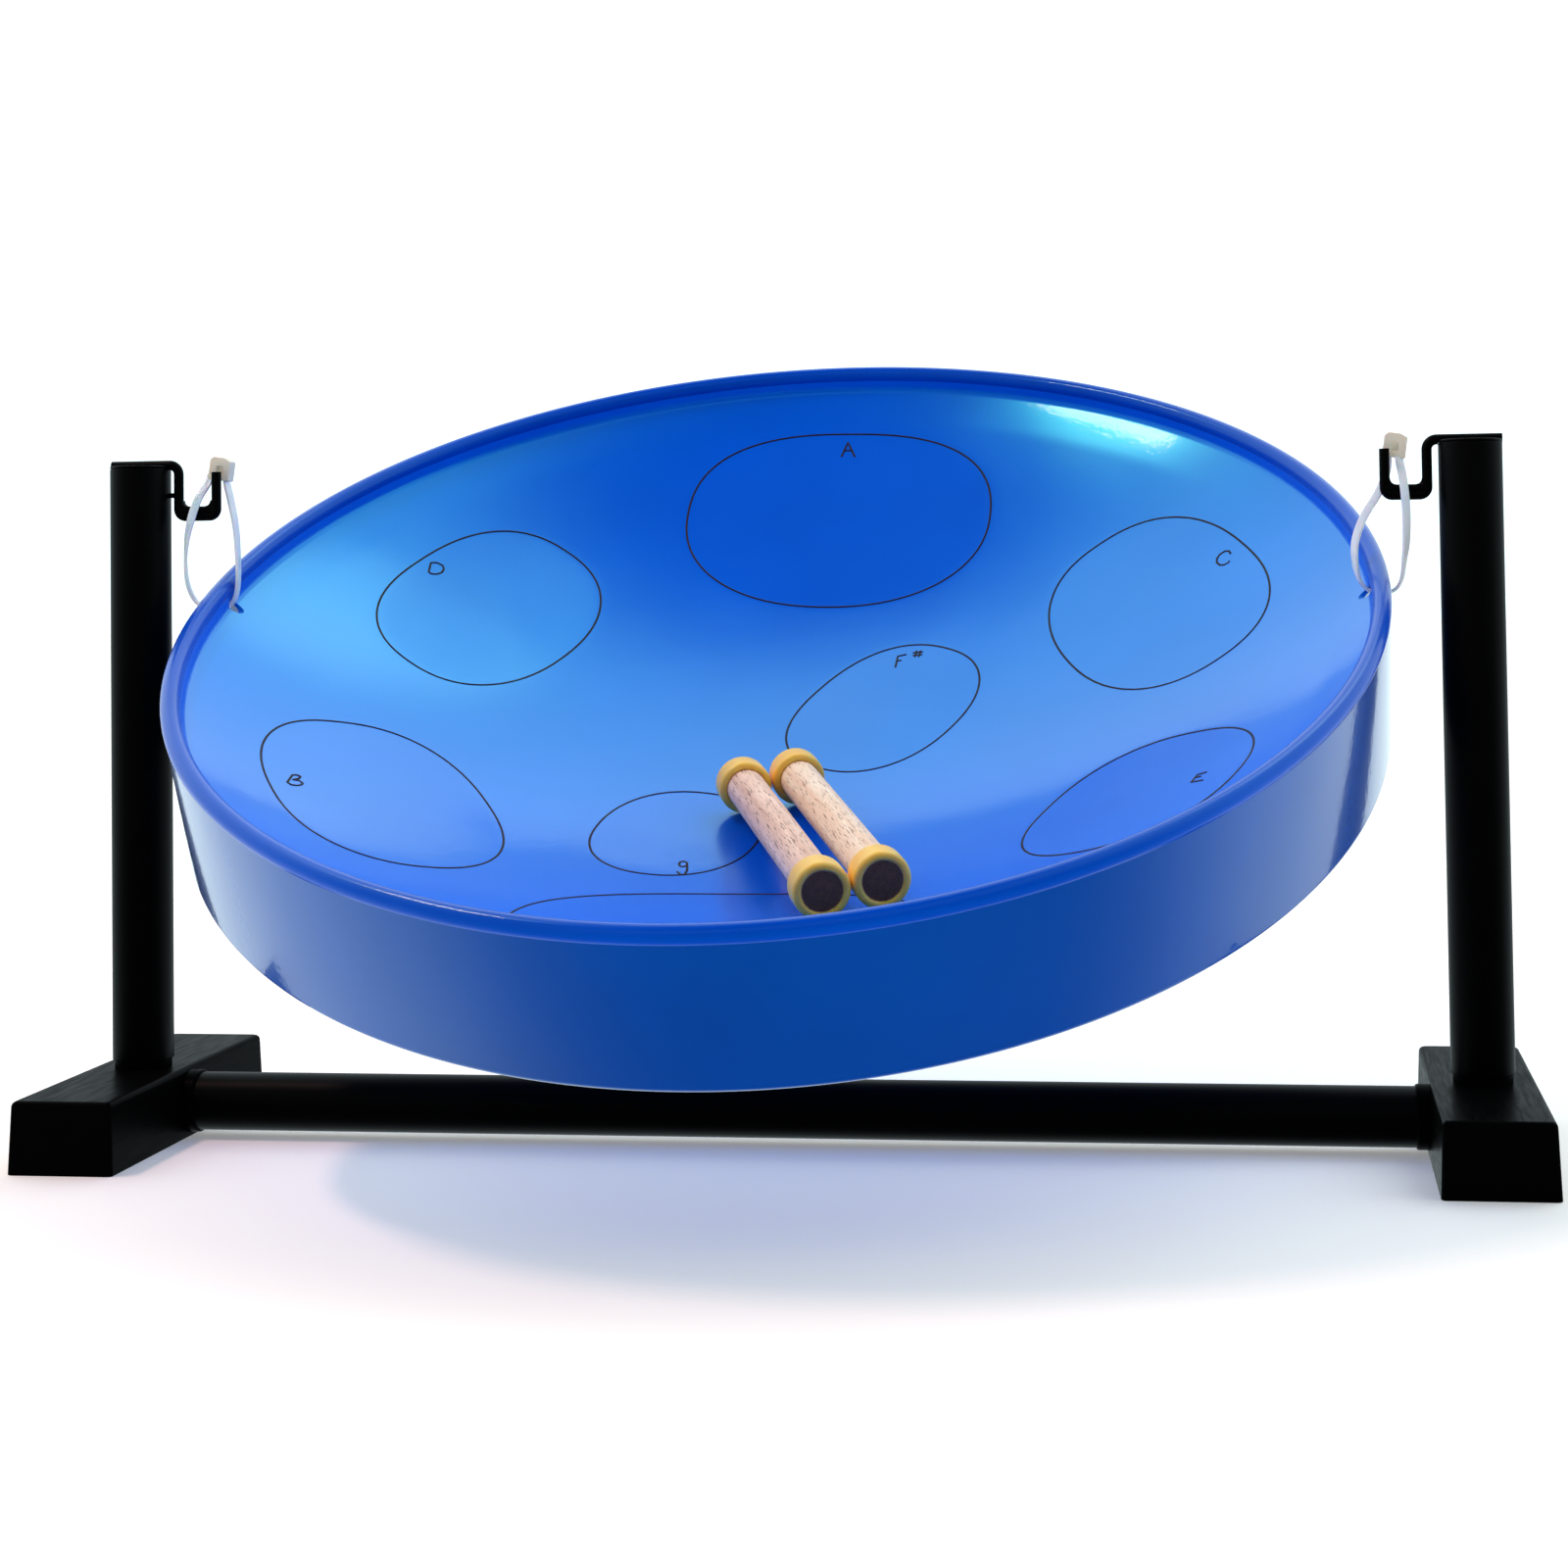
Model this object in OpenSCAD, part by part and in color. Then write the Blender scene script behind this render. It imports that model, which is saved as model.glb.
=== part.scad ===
// Steel pan hung by two nylon ties from a table stand, with two short mallets in its bowl.
// Millimetres. X runs along the crossbar, +Y to the raised back of the pan, +Z up.
// The origin is on the table under the centre of the whole object's bounding box.

/* [Pan] */
// Outer diameter of the rolled rim
rim_d = 406; // [380:1:420]
// Thickness of the rolled rim
rim_roll_d = 6.4; // [6:0.1:8]
// Height from the top of the rim to the lower edge of the skirt
skirt_h = 53.5; // [45:0.5:70]
// Depth of the playing surface below the foot of its upright wall
bowl_sag = 60; // [45:1:75]
// Depth of the upright wall below the top of the rim
wall_h = 8.8; // [8.6:0.1:10]
// Thickness of the steel sheet
sheet_t = 1.2; // [0.8:0.1:1.5]
// How far the pan leans towards the player, in degrees
pan_tilt = 26.2; // [15:0.1:30]
// Distance of the tie holes behind the diameter of the pan
hole_y = 11.3; // [6:0.1:20]
// Depth of the tie holes below the top of the rim
hole_depth = 9.2; // [9.2:0.1:10]
// Diameter of the tie holes
hole_d = 4.8; // [4.5:0.1:5.4]

/* [Stand] */
// Distance between the axes of the posts
post_spacing = 460; // [458:1:464]
// Outer diameter of the posts
post_d = 20.8; // [20:0.1:21]
// Height of the top of the posts above the table
post_top = 232.8; // [230:0.1:236]
// Wall thickness of the posts and the crossbar
tube_t = 1.4; // [1:0.1:1.6]
// Length of a foot
foot_l = 133; // [110:1:160]
// Width of a foot where it meets the table
foot_w = 36.2; // [34:0.1:38]
// Height of a foot
foot_h = 23.8; // [23:0.1:26]
// Outer diameter of the crossbar
bar_d = 19.8; // [19:0.1:20]
// Height of the crossbar's axis above the table
bar_z = 11.9; // [11.9:0.1:12.5]

/* [Hooks and ties] */
// Diameter of the hook rod
rod_d = 3.4; // [3.2:0.1:3.5]
// Clear width of the hook's U
hook_gap = 10.4; // [10:0.1:11]
// Height of the tie holes above the table
hang_z = 184; // [183.5:0.1:184.5]
// Width of the nylon strap
strap_w = 2.8; // [2.4:0.1:3]
// Thickness of the nylon strap
strap_t = 1.1; // [1:0.1:1.2]

/* [Mallets] */
// Length of a mallet
mallet_l = 127; // [120:1:150]
// Diameter of the wooden dowel
dowel_d = 12.7; // [12:0.1:13]
// Outer diameter of the rubber tips
tip_d = 17.5; // [16.5:0.1:17.8]
// Length of a rubber tip
tip_l = 10; // [8:0.5:22]
// Distance between the axes of the two mallets
mallet_pitch = 18.2; // [18.1:0.1:20]

/* [Hidden] */
$fn = 96;
past = 1; // how far a cutter runs past the face it cuts
left = -1;
right = 1;

// Pan, in its own frame: z = 0 is the top of the rim, +y its raised back
rim_r = rim_d / 2;
roll_r = rim_roll_d / 2;
roll_bore_r = roll_r - 1;
roll_pos = [rim_r - roll_r, -roll_r];
wall_r = rim_r - rim_roll_d + 0.4; // inner face of the upright wall
skirt_r = rim_r - 0.4;             // outer face of the skirt
skirt_t = 1;
hem_r = 2;                         // rolled hem inside the lower edge of the skirt
hem_pos = [skirt_r - hem_r - 0.1, hem_r - skirt_h];
bowl_r = (wall_r * wall_r + bowl_sag * bowl_sag) / (2 * bowl_sag); // radius of the playing surface
bowl_z = bowl_r - bowl_sag - wall_h;                                // centre of that sphere
hole_z = -hole_depth;

// The pan's place: its holes hang straight below the hooks
pan_front = rim_front_y();
pan_back = hem_pos[0] * cos(pan_tilt) - hem_pos[1] * sin(pan_tilt) + hem_r;
pan_y = -(pan_front + pan_back) / 2;
stand_y = pan_y + hole_y * cos(pan_tilt) - hole_z * sin(pan_tilt);
pan_z = hang_z - hole_y * sin(pan_tilt) - hole_z * cos(pan_tilt);
function rim_front_y() = -roll_pos[0] * cos(pan_tilt) - roll_pos[1] * sin(pan_tilt) - roll_r;

// Stand
post_x = post_spacing / 2;
post_r = post_d / 2;
post_bore_r = post_r - tube_t;
neck_r = post_r - 0.7;    // step of the foot that the post stands on
neck_h = 2.8;
post_base = foot_h + neck_h;
spigot_h = 12;            // part of the foot inside the post
foot_draft = 0.9;         // lean of each foot face over its height
foot_round = 1.8;         // rounding of the foot's upper edges
round_steps = 6;
screw_r = 3;
screw_hole_r = 3.3;
screw_sink_r = 6.5;
screw_sink_h = 8;
screw_head_r = 5.5;
screw_head_h = 3.6;
insert_h = 12;
bar_r = bar_d / 2;
ring_l = 4.4;
ring_r = bar_r + 0.75;
ring_round = 0.6;
ring_seat = 0.5;          // length of the ring's blank cut away by the leaning face of the foot
foot_face_x = post_x - foot_w / 2 + foot_draft * bar_z / foot_h; // inner face at the bar's height
bar_socket = 9;           // length of crossbar inside a foot
bar_end_x = foot_face_x + bar_socket;

// Hook, in the post's frame: x towards the pan, z = 0 at the top of the post
cap_t = 1;
cap_plug_h = 6;
rod_r = rod_d / 2;
arm_z = cap_t + 0.2;      // the rod is ground flat where it lies on the cap
leg_x = post_r + 2 + rod_r;
tip_x = leg_x + hook_gap + rod_d;
arm_bend = 3.3;           // bend radius of the rod's axis at the arm
u_bend = 2.5;             // bend radius of the rod's axis in the U
u_floor = -13.4;          // top of the U's bottom
u_depth = 5.2;            // the U's bottom is pressed deeper than the rod
u_low = u_floor - u_depth;
rod_low = u_low + rod_r;
rod_high = u_floor - rod_r;
web_t = rod_d - 0.4;
tip_top = -1.5;
weld_z = -9.5;
weld_r = 0.9;
fillet = 2;
hook_z = post_top + (u_floor + u_low) / 2; // axis that a tie swings about

// Ties: [distance from the pan's centre plane, y from the posts, height, turn of the strap]
// A turn of 0 lays the strap's width along y, and 90 lays it in the plane of the loop.
left_tie_path = [[206.4, 5.6, 231, 70], [206.6, 3.4, 227.5, 70], [208, -0.9, 222.7, 88],
    [209.6, -3.2, 216.5, 90], [211.8, -2.6, 208.5, 50], [213, -1.2, 200, 20], [212.6, -0.3, 192, 5],
    [209.8, 0, 186, 0], [205.5, 0, 184, 0], [200, 0, 184, 0], [197, 0, 184.8, 0],
    [195, 0, 188, 0], [194.3, 0.2, 194, 0], [194.8, 1, 203, 10], [196, 2.3, 212, 20],
    [198.2, 3.7, 221, 30], [200.2, 5, 227.5, 30], [200.6, 5.6, 231, 30]];
right_tie_path = [[207.4, 5.6, 231, 70], [207.2, 3.4, 227.5, 70], [207.8, -0.8, 222.7, 90],
    [208.4, -3.2, 216.5, 90], [208.8, -2.9, 209, 70], [208.7, -1.4, 201, 50], [208, -0.4, 194.5, 25],
    [207, 0, 188, 10], [204.4, 0, 184.4, 0], [200, 0, 184, 0], [196.4, 0, 184.4, 0],
    [193.4, 0, 187.6, 10], [192, 0.2, 193.5, 30], [192.2, 0.9, 201, 50], [195.2, 2.2, 209, 60],
    [200, 3.3, 216.7, 60], [203, 4.4, 224, 50], [203.6, 5.6, 231, 50]];
path_steps = 4;
head_size = [7.6, 5.2, 8.2];
head_y = 5.9;
head_z = 232.6;
head_lean = 8;
left_head_x = 202.4;
right_head_x = 205.9;
head_chamfer = 1.2;

// Mallets: they lie across the bowl on the edges of their rubber tips
mallet_heading = 22.4;
mallet_offset = 80.5;     // middle of the mallets in front of the bowl's centre
mallet_side = 22.3;       // first mallet's axis to the left of the bowl's centre
rest_gap = 0.3;
tip_r = tip_d / 2;
dowel_r = dowel_d / 2;
tip_round = 1.6;
tip_inset = 0.6;          // the dowel's end stands back from the end of its tip
mallet_drop = sqrt(pow(bowl_r - rest_gap, 2) - pow(mallet_l / 2, 2)) - tip_r;
mallet_lean = asin(mallet_offset / mallet_drop);

// ---- shared shapes ----

// Points of an arc, from angle a to angle b
function arc(centre, r, a, b, steps = round_steps) =
    [for (i = [0:steps]) centre + r * [cos(a + (b - a) * i / steps), sin(a + (b - a) * i / steps)]];

// Outline of a block with leaning sides and rounded upper corners
function foot_outline(width, height, draft, r) =
    let (top = width / 2 - draft)
    concat([[-width / 2, 0], [width / 2, 0]],
        arc([top - r, height - r], r, 0, 90), arc([r - top, height - r], r, 90, 180));

module tube(r, bore, h) {
    difference() {
        cylinder(r = r, h = h);
        translate([0, 0, -past]) cylinder(r = bore, h = h + 2 * past);
    }
}

// A quarter bend of the rod in the x-z plane, about the origin, from angle a
module rod_bend(r, a) {
    rotate([90, 0, 0]) rotate([0, 0, a]) rotate_extrude(angle = 90) translate([r, 0]) circle(r = rod_r);
}

module at_post(side) {
    translate([side * post_x, stand_y, 0]) children();
}

// x towards the pan on both sides: the left hook is the right one given a half turn
module facing_pan(side) {
    rotate([0, 0, side == left ? 180 : 0]) mirror([1, 0, 0]) children();
}

module in_pan() {
    translate([0, pan_y, pan_z]) rotate([pan_tilt, 0, 0]) children();
}

// ---- stand ----

module foot_block() {
    intersection() {
        rotate([90, 0, 0]) linear_extrude(foot_l + 2 * past, center = true)
            polygon(foot_outline(foot_w, foot_h, foot_draft, foot_round));
        rotate([90, 0, 90]) linear_extrude(foot_w + 2 * past, center = true)
            polygon(foot_outline(foot_l, foot_h, foot_draft, foot_round));
    }
}

module foot(side) {
    color("#161616") difference() {
        at_post(side) union() {
            foot_block();
            translate([0, 0, foot_h - past]) cylinder(r = neck_r, h = neck_h + past);
            translate([0, 0, foot_h]) cylinder(r = post_bore_r, h = neck_h + spigot_h);
        }
        at_post(side) union() {
            translate([0, 0, -past]) cylinder(r = screw_sink_r, h = screw_sink_h + past);
            cylinder(r = screw_hole_r, h = post_base + spigot_h + past);
        }
        translate([side * bar_end_x, stand_y, bar_z]) rotate([0, -90 * side, 0])
            cylinder(r = bar_r, h = foot_w);
    }
}

module post(side) {
    color("#121212") at_post(side) translate([0, 0, post_base])
        tube(post_r, post_bore_r, post_top - post_base);
}

module post_cap(side) {
    color("#141414") at_post(side) translate([0, 0, post_top]) union() {
        cylinder(r = post_r, h = cap_t);
        translate([0, 0, -cap_plug_h]) cylinder(r = post_bore_r, h = cap_plug_h + cap_t / 2);
    }
}

module post_insert(side) {
    color("#b8a060") at_post(side) translate([0, 0, post_base + spigot_h])
        tube(post_bore_r, screw_r, insert_h);
}

module foot_screw(side) {
    color("#9a9ca0") at_post(side) translate([0, 0, screw_sink_h]) union() {
        translate([0, 0, -screw_head_h]) cylinder(r = screw_head_r, h = screw_head_h);
        cylinder(r = screw_r, h = post_base + spigot_h + insert_h - screw_sink_h);
    }
}

module crossbar() {
    color("#121212") translate([-bar_end_x, stand_y, bar_z]) rotate([0, 90, 0])
        tube(bar_r, bar_r - tube_t, 2 * bar_end_x);
}

// Ring with rounded edges around the end of the crossbar, seated on the leaning face of the foot
module bar_ring(side) {
    color("#1a1a1a") difference() {
        translate([side * foot_face_x, stand_y, bar_z]) rotate([0, -90 * side, 0]) rotate_extrude()
            polygon(concat([[bar_r, -ring_seat], [ring_r, -ring_seat]],
                arc([ring_r - ring_round, ring_l - ring_round], ring_round, 0, 90),
                [[bar_r, ring_l]]));
        at_post(side) foot_block();
    }
}

module hook_rod() {
    difference() {
        translate([-post_r, 0, arm_z]) rotate([0, 90, 0])
            cylinder(r = rod_r, h = post_r + leg_x - arm_bend);
        translate([0, 0, -past]) cylinder(r = post_r, h = cap_t + past);
    }
    translate([leg_x - arm_bend, 0, arm_z - arm_bend]) rod_bend(arm_bend, 0);
    translate([leg_x, 0, rod_low + u_bend])
        cylinder(r = rod_r, h = arm_z - arm_bend - rod_low - u_bend);
    translate([leg_x + u_bend, 0, rod_low + u_bend]) rod_bend(u_bend, 180);
    translate([leg_x + u_bend, 0, rod_low]) rotate([0, 90, 0])
        cylinder(r = rod_r, h = tip_x - leg_x - 2 * u_bend);
    translate([tip_x - u_bend, 0, rod_low + u_bend]) rod_bend(u_bend, 270);
    translate([tip_x, 0, rod_low + u_bend]) cylinder(r = rod_r, h = tip_top - rod_low - u_bend);
}

// The pressed bottom of the U: an upper round edge, a web and two inner fillets
module hook_floor() {
    translate([leg_x, 0, rod_high]) rotate([0, 90, 0]) cylinder(r = rod_r, h = tip_x - leg_x);
    translate([leg_x + u_bend, -web_t / 2, rod_low])
        cube([tip_x - leg_x - 2 * u_bend, web_t, rod_high - rod_low]);
    hook_fillet(leg_x + rod_r, 0);
    hook_fillet(tip_x - rod_r, 1);
}

module hook_fillet(x, flip) {
    translate([x, 0, u_floor]) mirror([flip, 0, 0]) difference() {
        translate([-rod_r, -web_t / 2, -rod_r]) cube([rod_r + fillet, web_t, rod_r + fillet]);
        translate([fillet, 0, fillet]) rotate([90, 0, 0])
            cylinder(r = fillet, h = 2 * rod_d, center = true);
        translate([fillet, -rod_d, -rod_r - past]) cube([rod_d, 2 * rod_d, rod_d + 2 * fillet]);
    }
}

module hook(side) {
    color("#111111") at_post(side) translate([0, 0, post_top]) facing_pan(side) union() {
        hook_rod();
        hook_floor();
    }
}

// Bead of weld between the post and the first leg of the hook
module hook_weld(side) {
    color("#111111") at_post(side) translate([0, 0, post_top + weld_z]) facing_pan(side)
        difference() {
            translate([post_r - weld_r, 0, 0]) rotate([0, 90, 0])
                cylinder(r = weld_r, h = leg_x - post_r + weld_r);
            cylinder(r = post_r, h = 4 * weld_r, center = true);
            translate([leg_x, 0, 0]) cylinder(r = rod_r, h = 4 * weld_r, center = true);
        }
}

// ---- pan ----

module roll_section(r) {
    translate(roll_pos) circle(r = r);
}

// The tie holes, bored along x through skirt and wall on both sides
module tie_holes() {
    for (side = [left, right]) translate([side * rim_r, hole_y, hole_z]) rotate([0, 90, 0])
        cylinder(r = hole_d / 2, h = 24, center = true);
}

// Sunk playing surface: a dished sheet with a short upright wall
module pan_bowl() {
    color("#1f6fe0") in_pan() difference() {
        rotate_extrude() difference() {
            union() {
                intersection() {
                    difference() {
                        translate([0, bowl_z]) circle(r = bowl_r + sheet_t, $fn = 360);
                        translate([0, bowl_z]) circle(r = bowl_r, $fn = 360);
                    }
                    translate([0, -bowl_sag - wall_h - 2 * sheet_t])
                        square([wall_r + sheet_t, bowl_sag + 2 * sheet_t]);
                }
                translate([wall_r, -wall_h - sheet_t]) square([sheet_t, wall_h + sheet_t - roll_r]);
            }
            roll_section(roll_r);
        }
        tie_holes();
    }
}

module rim_ring() {
    color("#1c62d4") in_pan() rotate_extrude() difference() {
        roll_section(roll_r);
        roll_section(roll_bore_r);
    }
}

// Side band with a rolled hem inside its lower edge
module pan_skirt() {
    color("#1440a0") in_pan() difference() {
        rotate_extrude() difference() {
            union() {
                translate([skirt_r - skirt_t, hem_pos[1]]) square([skirt_t, -hem_pos[1] - roll_r]);
                translate(hem_pos) circle(r = hem_r);
            }
            roll_section(roll_r);
        }
        tie_holes();
    }
}

// ---- ties ----

// One point of a smooth curve through p1 and p2, with p0 and p3 beyond them
function between(p0, p1, p2, p3, t) =
    0.5 * (2 * p1 + (p2 - p0) * t + (2 * p0 - 5 * p1 + 4 * p2 - p3) * t * t
        + (3 * p1 - p0 - 3 * p2 + p3) * t * t * t);
function at_end(path, i) = path[max(0, min(len(path) - 1, i))];
function smooth(path) =
    [for (i = [0:len(path) - 2], k = [0:path_steps - (i == len(path) - 2 ? 0 : 1)])
        between(at_end(path, i - 1), path[i], path[i + 1], at_end(path, i + 2), k / path_steps)];
function place(p) = [p[0], p[1], p[2]];
function unit(v) = v / norm(v);
function ahead(points, i) = unit(place(at_end(points, i + 1)) - place(at_end(points, i - 1)));

// The strap's four corners at one point of its path
function strap_ring(p, dir) =
    let (flat_dir = unit(cross(dir, [0, 1, 0])), y_dir = unit(cross(flat_dir, dir)),
        wide = cos(p[3]) * y_dir + sin(p[3]) * flat_dir, thin = cross(dir, wide))
    [for (s = [[1, 1], [-1, 1], [-1, -1], [1, -1]])
        place(p) + s[0] * strap_w / 2 * wide + s[1] * strap_t / 2 * thin];

module strap(path) {
    points = smooth(path);
    rings = [for (i = [0:len(points) - 1]) strap_ring(points[i], ahead(points, i))];
    last = 4 * (len(points) - 1);
    sides = [for (i = [0:len(points) - 2], k = [0:3])
        let (a = 4 * i + k, b = 4 * i + (k + 1) % 4) each [[a, b, a + 4], [b, b + 4, a + 4]]];
    ends = [[2, 1, 0], [3, 2, 0], [last, last + 1, last + 2], [last, last + 2, last + 3]];
    polyhedron(points = [for (r = rings) each r], faces = concat(sides, ends));
}

module tie_strap(side, path) {
    color("#dfe8f2") translate([0, stand_y, 0]) mirror([side == left ? 1 : 0, 0, 0]) strap(path);
}

// Locking head with one slanted upper edge
module tie_head(side, x) {
    color("#e8e2d2") translate([side * x, stand_y + head_y, head_z]) rotate([0, head_lean, 0])
        rotate([90, 0, 0]) linear_extrude(head_size[1], center = true) polygon([
            [-head_size[0] / 2, -head_size[2] / 2], [head_size[0] / 2, -head_size[2] / 2],
            [head_size[0] / 2, head_size[2] / 2 - head_chamfer],
            [head_size[0] / 2 - 2 * head_chamfer, head_size[2] / 2],
            [-head_size[0] / 2 + head_chamfer, head_size[2] / 2],
            [-head_size[0] / 2, head_size[2] / 2 - head_chamfer]]);
}

// ---- mallets ----

// A mallet's own frame: its axis along z from front (0) to rear (mallet_l)
module in_mallet(index) {
    side_angle = asin((mallet_side - index * mallet_pitch) / mallet_drop);
    in_pan() translate([0, 0, bowl_z]) rotate([0, 0, mallet_heading]) rotate([-mallet_lean, 0, 0])
        rotate([0, side_angle, 0]) translate([0, -mallet_l / 2, -mallet_drop])
        rotate([-90, 0, 0]) children();
}

module stick(index) {
    color("#c9a586") in_mallet(index) translate([0, 0, tip_inset])
        cylinder(r = dowel_r, h = mallet_l - 2 * tip_inset);
}

// Rubber sleeve with a rounded outer edge at each end
module tip(index, z) {
    color("#f2cc3c") in_mallet(index) translate([0, 0, z]) rotate_extrude() polygon(concat(
        [[dowel_r, tip_l], [dowel_r, 0]],
        arc([tip_r - tip_round, tip_round], tip_round, -90, 0),
        arc([tip_r - tip_round, tip_l - tip_round], tip_round, 0, 90)));
}

foot(left);  // left_foot
foot(right);  // right_foot
post(left);  // left_post
post(right);  // right_post
post_cap(left);  // left_post_cap
post_cap(right);  // right_post_cap
hook(left);  // left_hook
hook(right);  // right_hook
hook_weld(left);  // left_hook_weld
crossbar();
bar_ring(left);  // left_bar_ring
bar_ring(right);  // right_bar_ring
post_insert(left);  // left_post_insert
post_insert(right);  // right_post_insert
foot_screw(left);  // left_foot_screw
foot_screw(right);  // right_foot_screw
pan_bowl();
rim_ring();
pan_skirt();
tie_strap(left, left_tie_path);  // left_tie_strap
tie_strap(right, right_tie_path);  // right_tie_strap
tie_head(left, left_head_x);  // left_tie_head
tie_head(right, right_head_x);  // right_tie_head
stick(0);  // mallet_1_stick
tip(0, 0);  // mallet_1_front_tip
tip(0, mallet_l - tip_l);  // mallet_1_rear_tip
stick(1);  // mallet_2_stick
tip(1, 0);  // mallet_2_front_tip
tip(1, mallet_l - tip_l);  // mallet_2_rear_tip
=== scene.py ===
# %% [markdown]
# # A small steel pan on a table stand
# This lesson dresses a finished CAD model of a hung steel pan: a blue enamelled bowl with seven
# marked notes, a black table stand, two nylon ties and a pair of short mallets. The CAD model is
# the frame: every piece made here goes where the frame says, in metres, and rides on its bodies.
# A maker could retype the sizes, but then a change of the CAD would leave the looks behind, so
# places are read from the frame wherever it can give them.

# %% Load the frame
import math

import bmesh
import bpy
import numpy as np
from mathutils import Matrix, Vector, noise


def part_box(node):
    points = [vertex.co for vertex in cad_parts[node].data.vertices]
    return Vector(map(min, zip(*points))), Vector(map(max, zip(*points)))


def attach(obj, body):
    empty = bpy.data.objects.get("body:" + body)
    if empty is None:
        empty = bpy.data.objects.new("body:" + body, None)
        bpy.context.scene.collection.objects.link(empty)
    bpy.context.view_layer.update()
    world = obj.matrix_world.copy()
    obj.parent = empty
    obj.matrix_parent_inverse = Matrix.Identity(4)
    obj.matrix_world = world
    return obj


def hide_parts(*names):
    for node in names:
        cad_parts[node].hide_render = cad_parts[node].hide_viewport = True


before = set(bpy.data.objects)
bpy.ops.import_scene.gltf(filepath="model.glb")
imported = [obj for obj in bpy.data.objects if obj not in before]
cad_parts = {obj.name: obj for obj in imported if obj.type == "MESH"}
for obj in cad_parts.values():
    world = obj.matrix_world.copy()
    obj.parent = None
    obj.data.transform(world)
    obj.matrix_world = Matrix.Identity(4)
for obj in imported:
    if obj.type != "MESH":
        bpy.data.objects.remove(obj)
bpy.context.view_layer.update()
MM = 0.001

# %% [markdown]
# ## Putting things in the scene
# Blender keeps shapes, lamps and cameras as data, and an object gives such data a place. Every
# step below needs both, so one helper makes the object and links it. bpy.ops could add objects
# too, but an operator depends on what happens to be selected.

# %% Object helper
def put(name, data):
    """An object made from its data and linked to the scene."""
    made = bpy.data.objects.new(name, data)
    bpy.context.scene.collection.objects.link(made)
    return made


# %% [markdown]
# ## The camera
# A long lens close to table height shows the pan as a player sees it: from the front, a little
# to the right, with the stand's feet spread at both sides. The camera could be aimed with a
# constraint, but a plain matrix built from three angles is easier to read back and to repeat.
# The lens is shifted a little, as a studio camera's is, so that upright posts stay upright.

# %% Make the camera
CAMERA_PLACE = Vector((163.8, -891.1, 191.8)) * MM
CAMERA_YAW, CAMERA_PITCH, CAMERA_ROLL = 7.83, 1.809, 0.807  # degrees

turn = (Matrix.Rotation(math.radians(CAMERA_YAW), 3, "Z")
        @ Matrix.Rotation(math.radians(CAMERA_PITCH), 3, "X")
        @ Matrix.Rotation(math.radians(CAMERA_ROLL), 3, "Y"))
right_way, forward, upward = turn.col
camera_data = bpy.data.cameras.new("studio_camera")
camera_data.sensor_width = 36
camera_data.lens = 61.145
camera_data.shift_x = -0.0751
camera_data.shift_y = -0.1870
camera_data.clip_start = 0.05
camera = put("studio_camera", camera_data)
camera.matrix_world = Matrix.Translation(CAMERA_PLACE) @ Matrix(
    (right_way, upward, -forward)).transposed().to_4x4()
bpy.context.scene.camera = camera
print("camera stands", round(CAMERA_PLACE.length, 3), "m from the middle of the stand")

# %% [markdown]
# ## One helper for nodes, one for colours
# Every finish below is a small network of nodes. Each network could be clicked together by hand,
# but a script that adds a node with its settings and its links in one line stays readable. Paint
# colours are written as the hex values that a colour picker shows, and one function turns them
# into the linear values that light is reckoned in.

# %% Node and colour helpers
def linear(hex_colour):
    """An sRGB hex colour as linear red, green, blue and full alpha."""
    parts = [int(hex_colour[i:i + 2], 16) / 255 for i in (1, 3, 5)]
    return [c / 12.92 if c <= 0.04045 else ((c + 0.055) / 1.055) ** 2.4 for c in parts] + [1.0]


def add(tree, kind, sockets=None, **settings):
    """Adds a node. A socket's value is a number, a colour or another node's output to link."""
    made = tree.nodes.new(kind)
    for name, value in settings.items():
        setattr(made, name, value)
    for name, value in (sockets or {}).items():
        if isinstance(value, bpy.types.NodeSocket):
            tree.links.new(value, made.inputs[name])
        else:
            made.inputs[name].default_value = value
    return made


def start_finish(name, **shader_values):
    """A material with one Principled shader whose plain values are set on its own sockets."""
    finish = bpy.data.materials.new(name)
    finish.use_nodes = True
    shader = finish.node_tree.nodes["Principled BSDF"]
    for socket, value in shader_values.items():
        shader.inputs[socket.replace("_", " ")].default_value = value
    return finish, finish.node_tree, shader


print("linear value of a mid blue:", [round(c, 3) for c in linear("#1f6fe0")])

# %% [markdown]
# ## The studio
# The object stands on a white table in a white tent of light. The tent is brightest from
# halfway up, dim at the front, and has a dark gap nearly overhead on the camera's side, which
# makes the far part of the bowl look deep blue. A second dark gap low in front keeps the side of
# the pan deep. The tent could be built from walls and lamps, but a world whose brightness
# depends on direction lights the scene evenly and renders faster. A soft glow high at the back
# right and one soft box on the left add glints to the enamel. The tent is tinted slightly cool
# and the box warm, which offsets the blue-green reflection of the enamel. The camera sees a
# plain white backdrop in place of the tent.

# %% Light the world
world = bpy.data.worlds.new("white_tent")
bpy.context.scene.world = world
world.use_nodes = True
tent = world.node_tree
sky_way = add(tent, "ShaderNodeTexCoord").outputs["Generated"]


def facing(azimuth, elevation):
    """How far a direction in the sky lies towards an azimuth (0 is +Y, 90 is +X) and elevation."""
    a, e = math.radians(azimuth), math.radians(elevation)
    target = (math.sin(a) * math.cos(e), math.cos(a) * math.cos(e), math.sin(e))
    return add(tent, "ShaderNodeVectorMath", {0: sky_way, 1: target},
               operation="DOT_PRODUCT").outputs["Value"]


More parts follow.
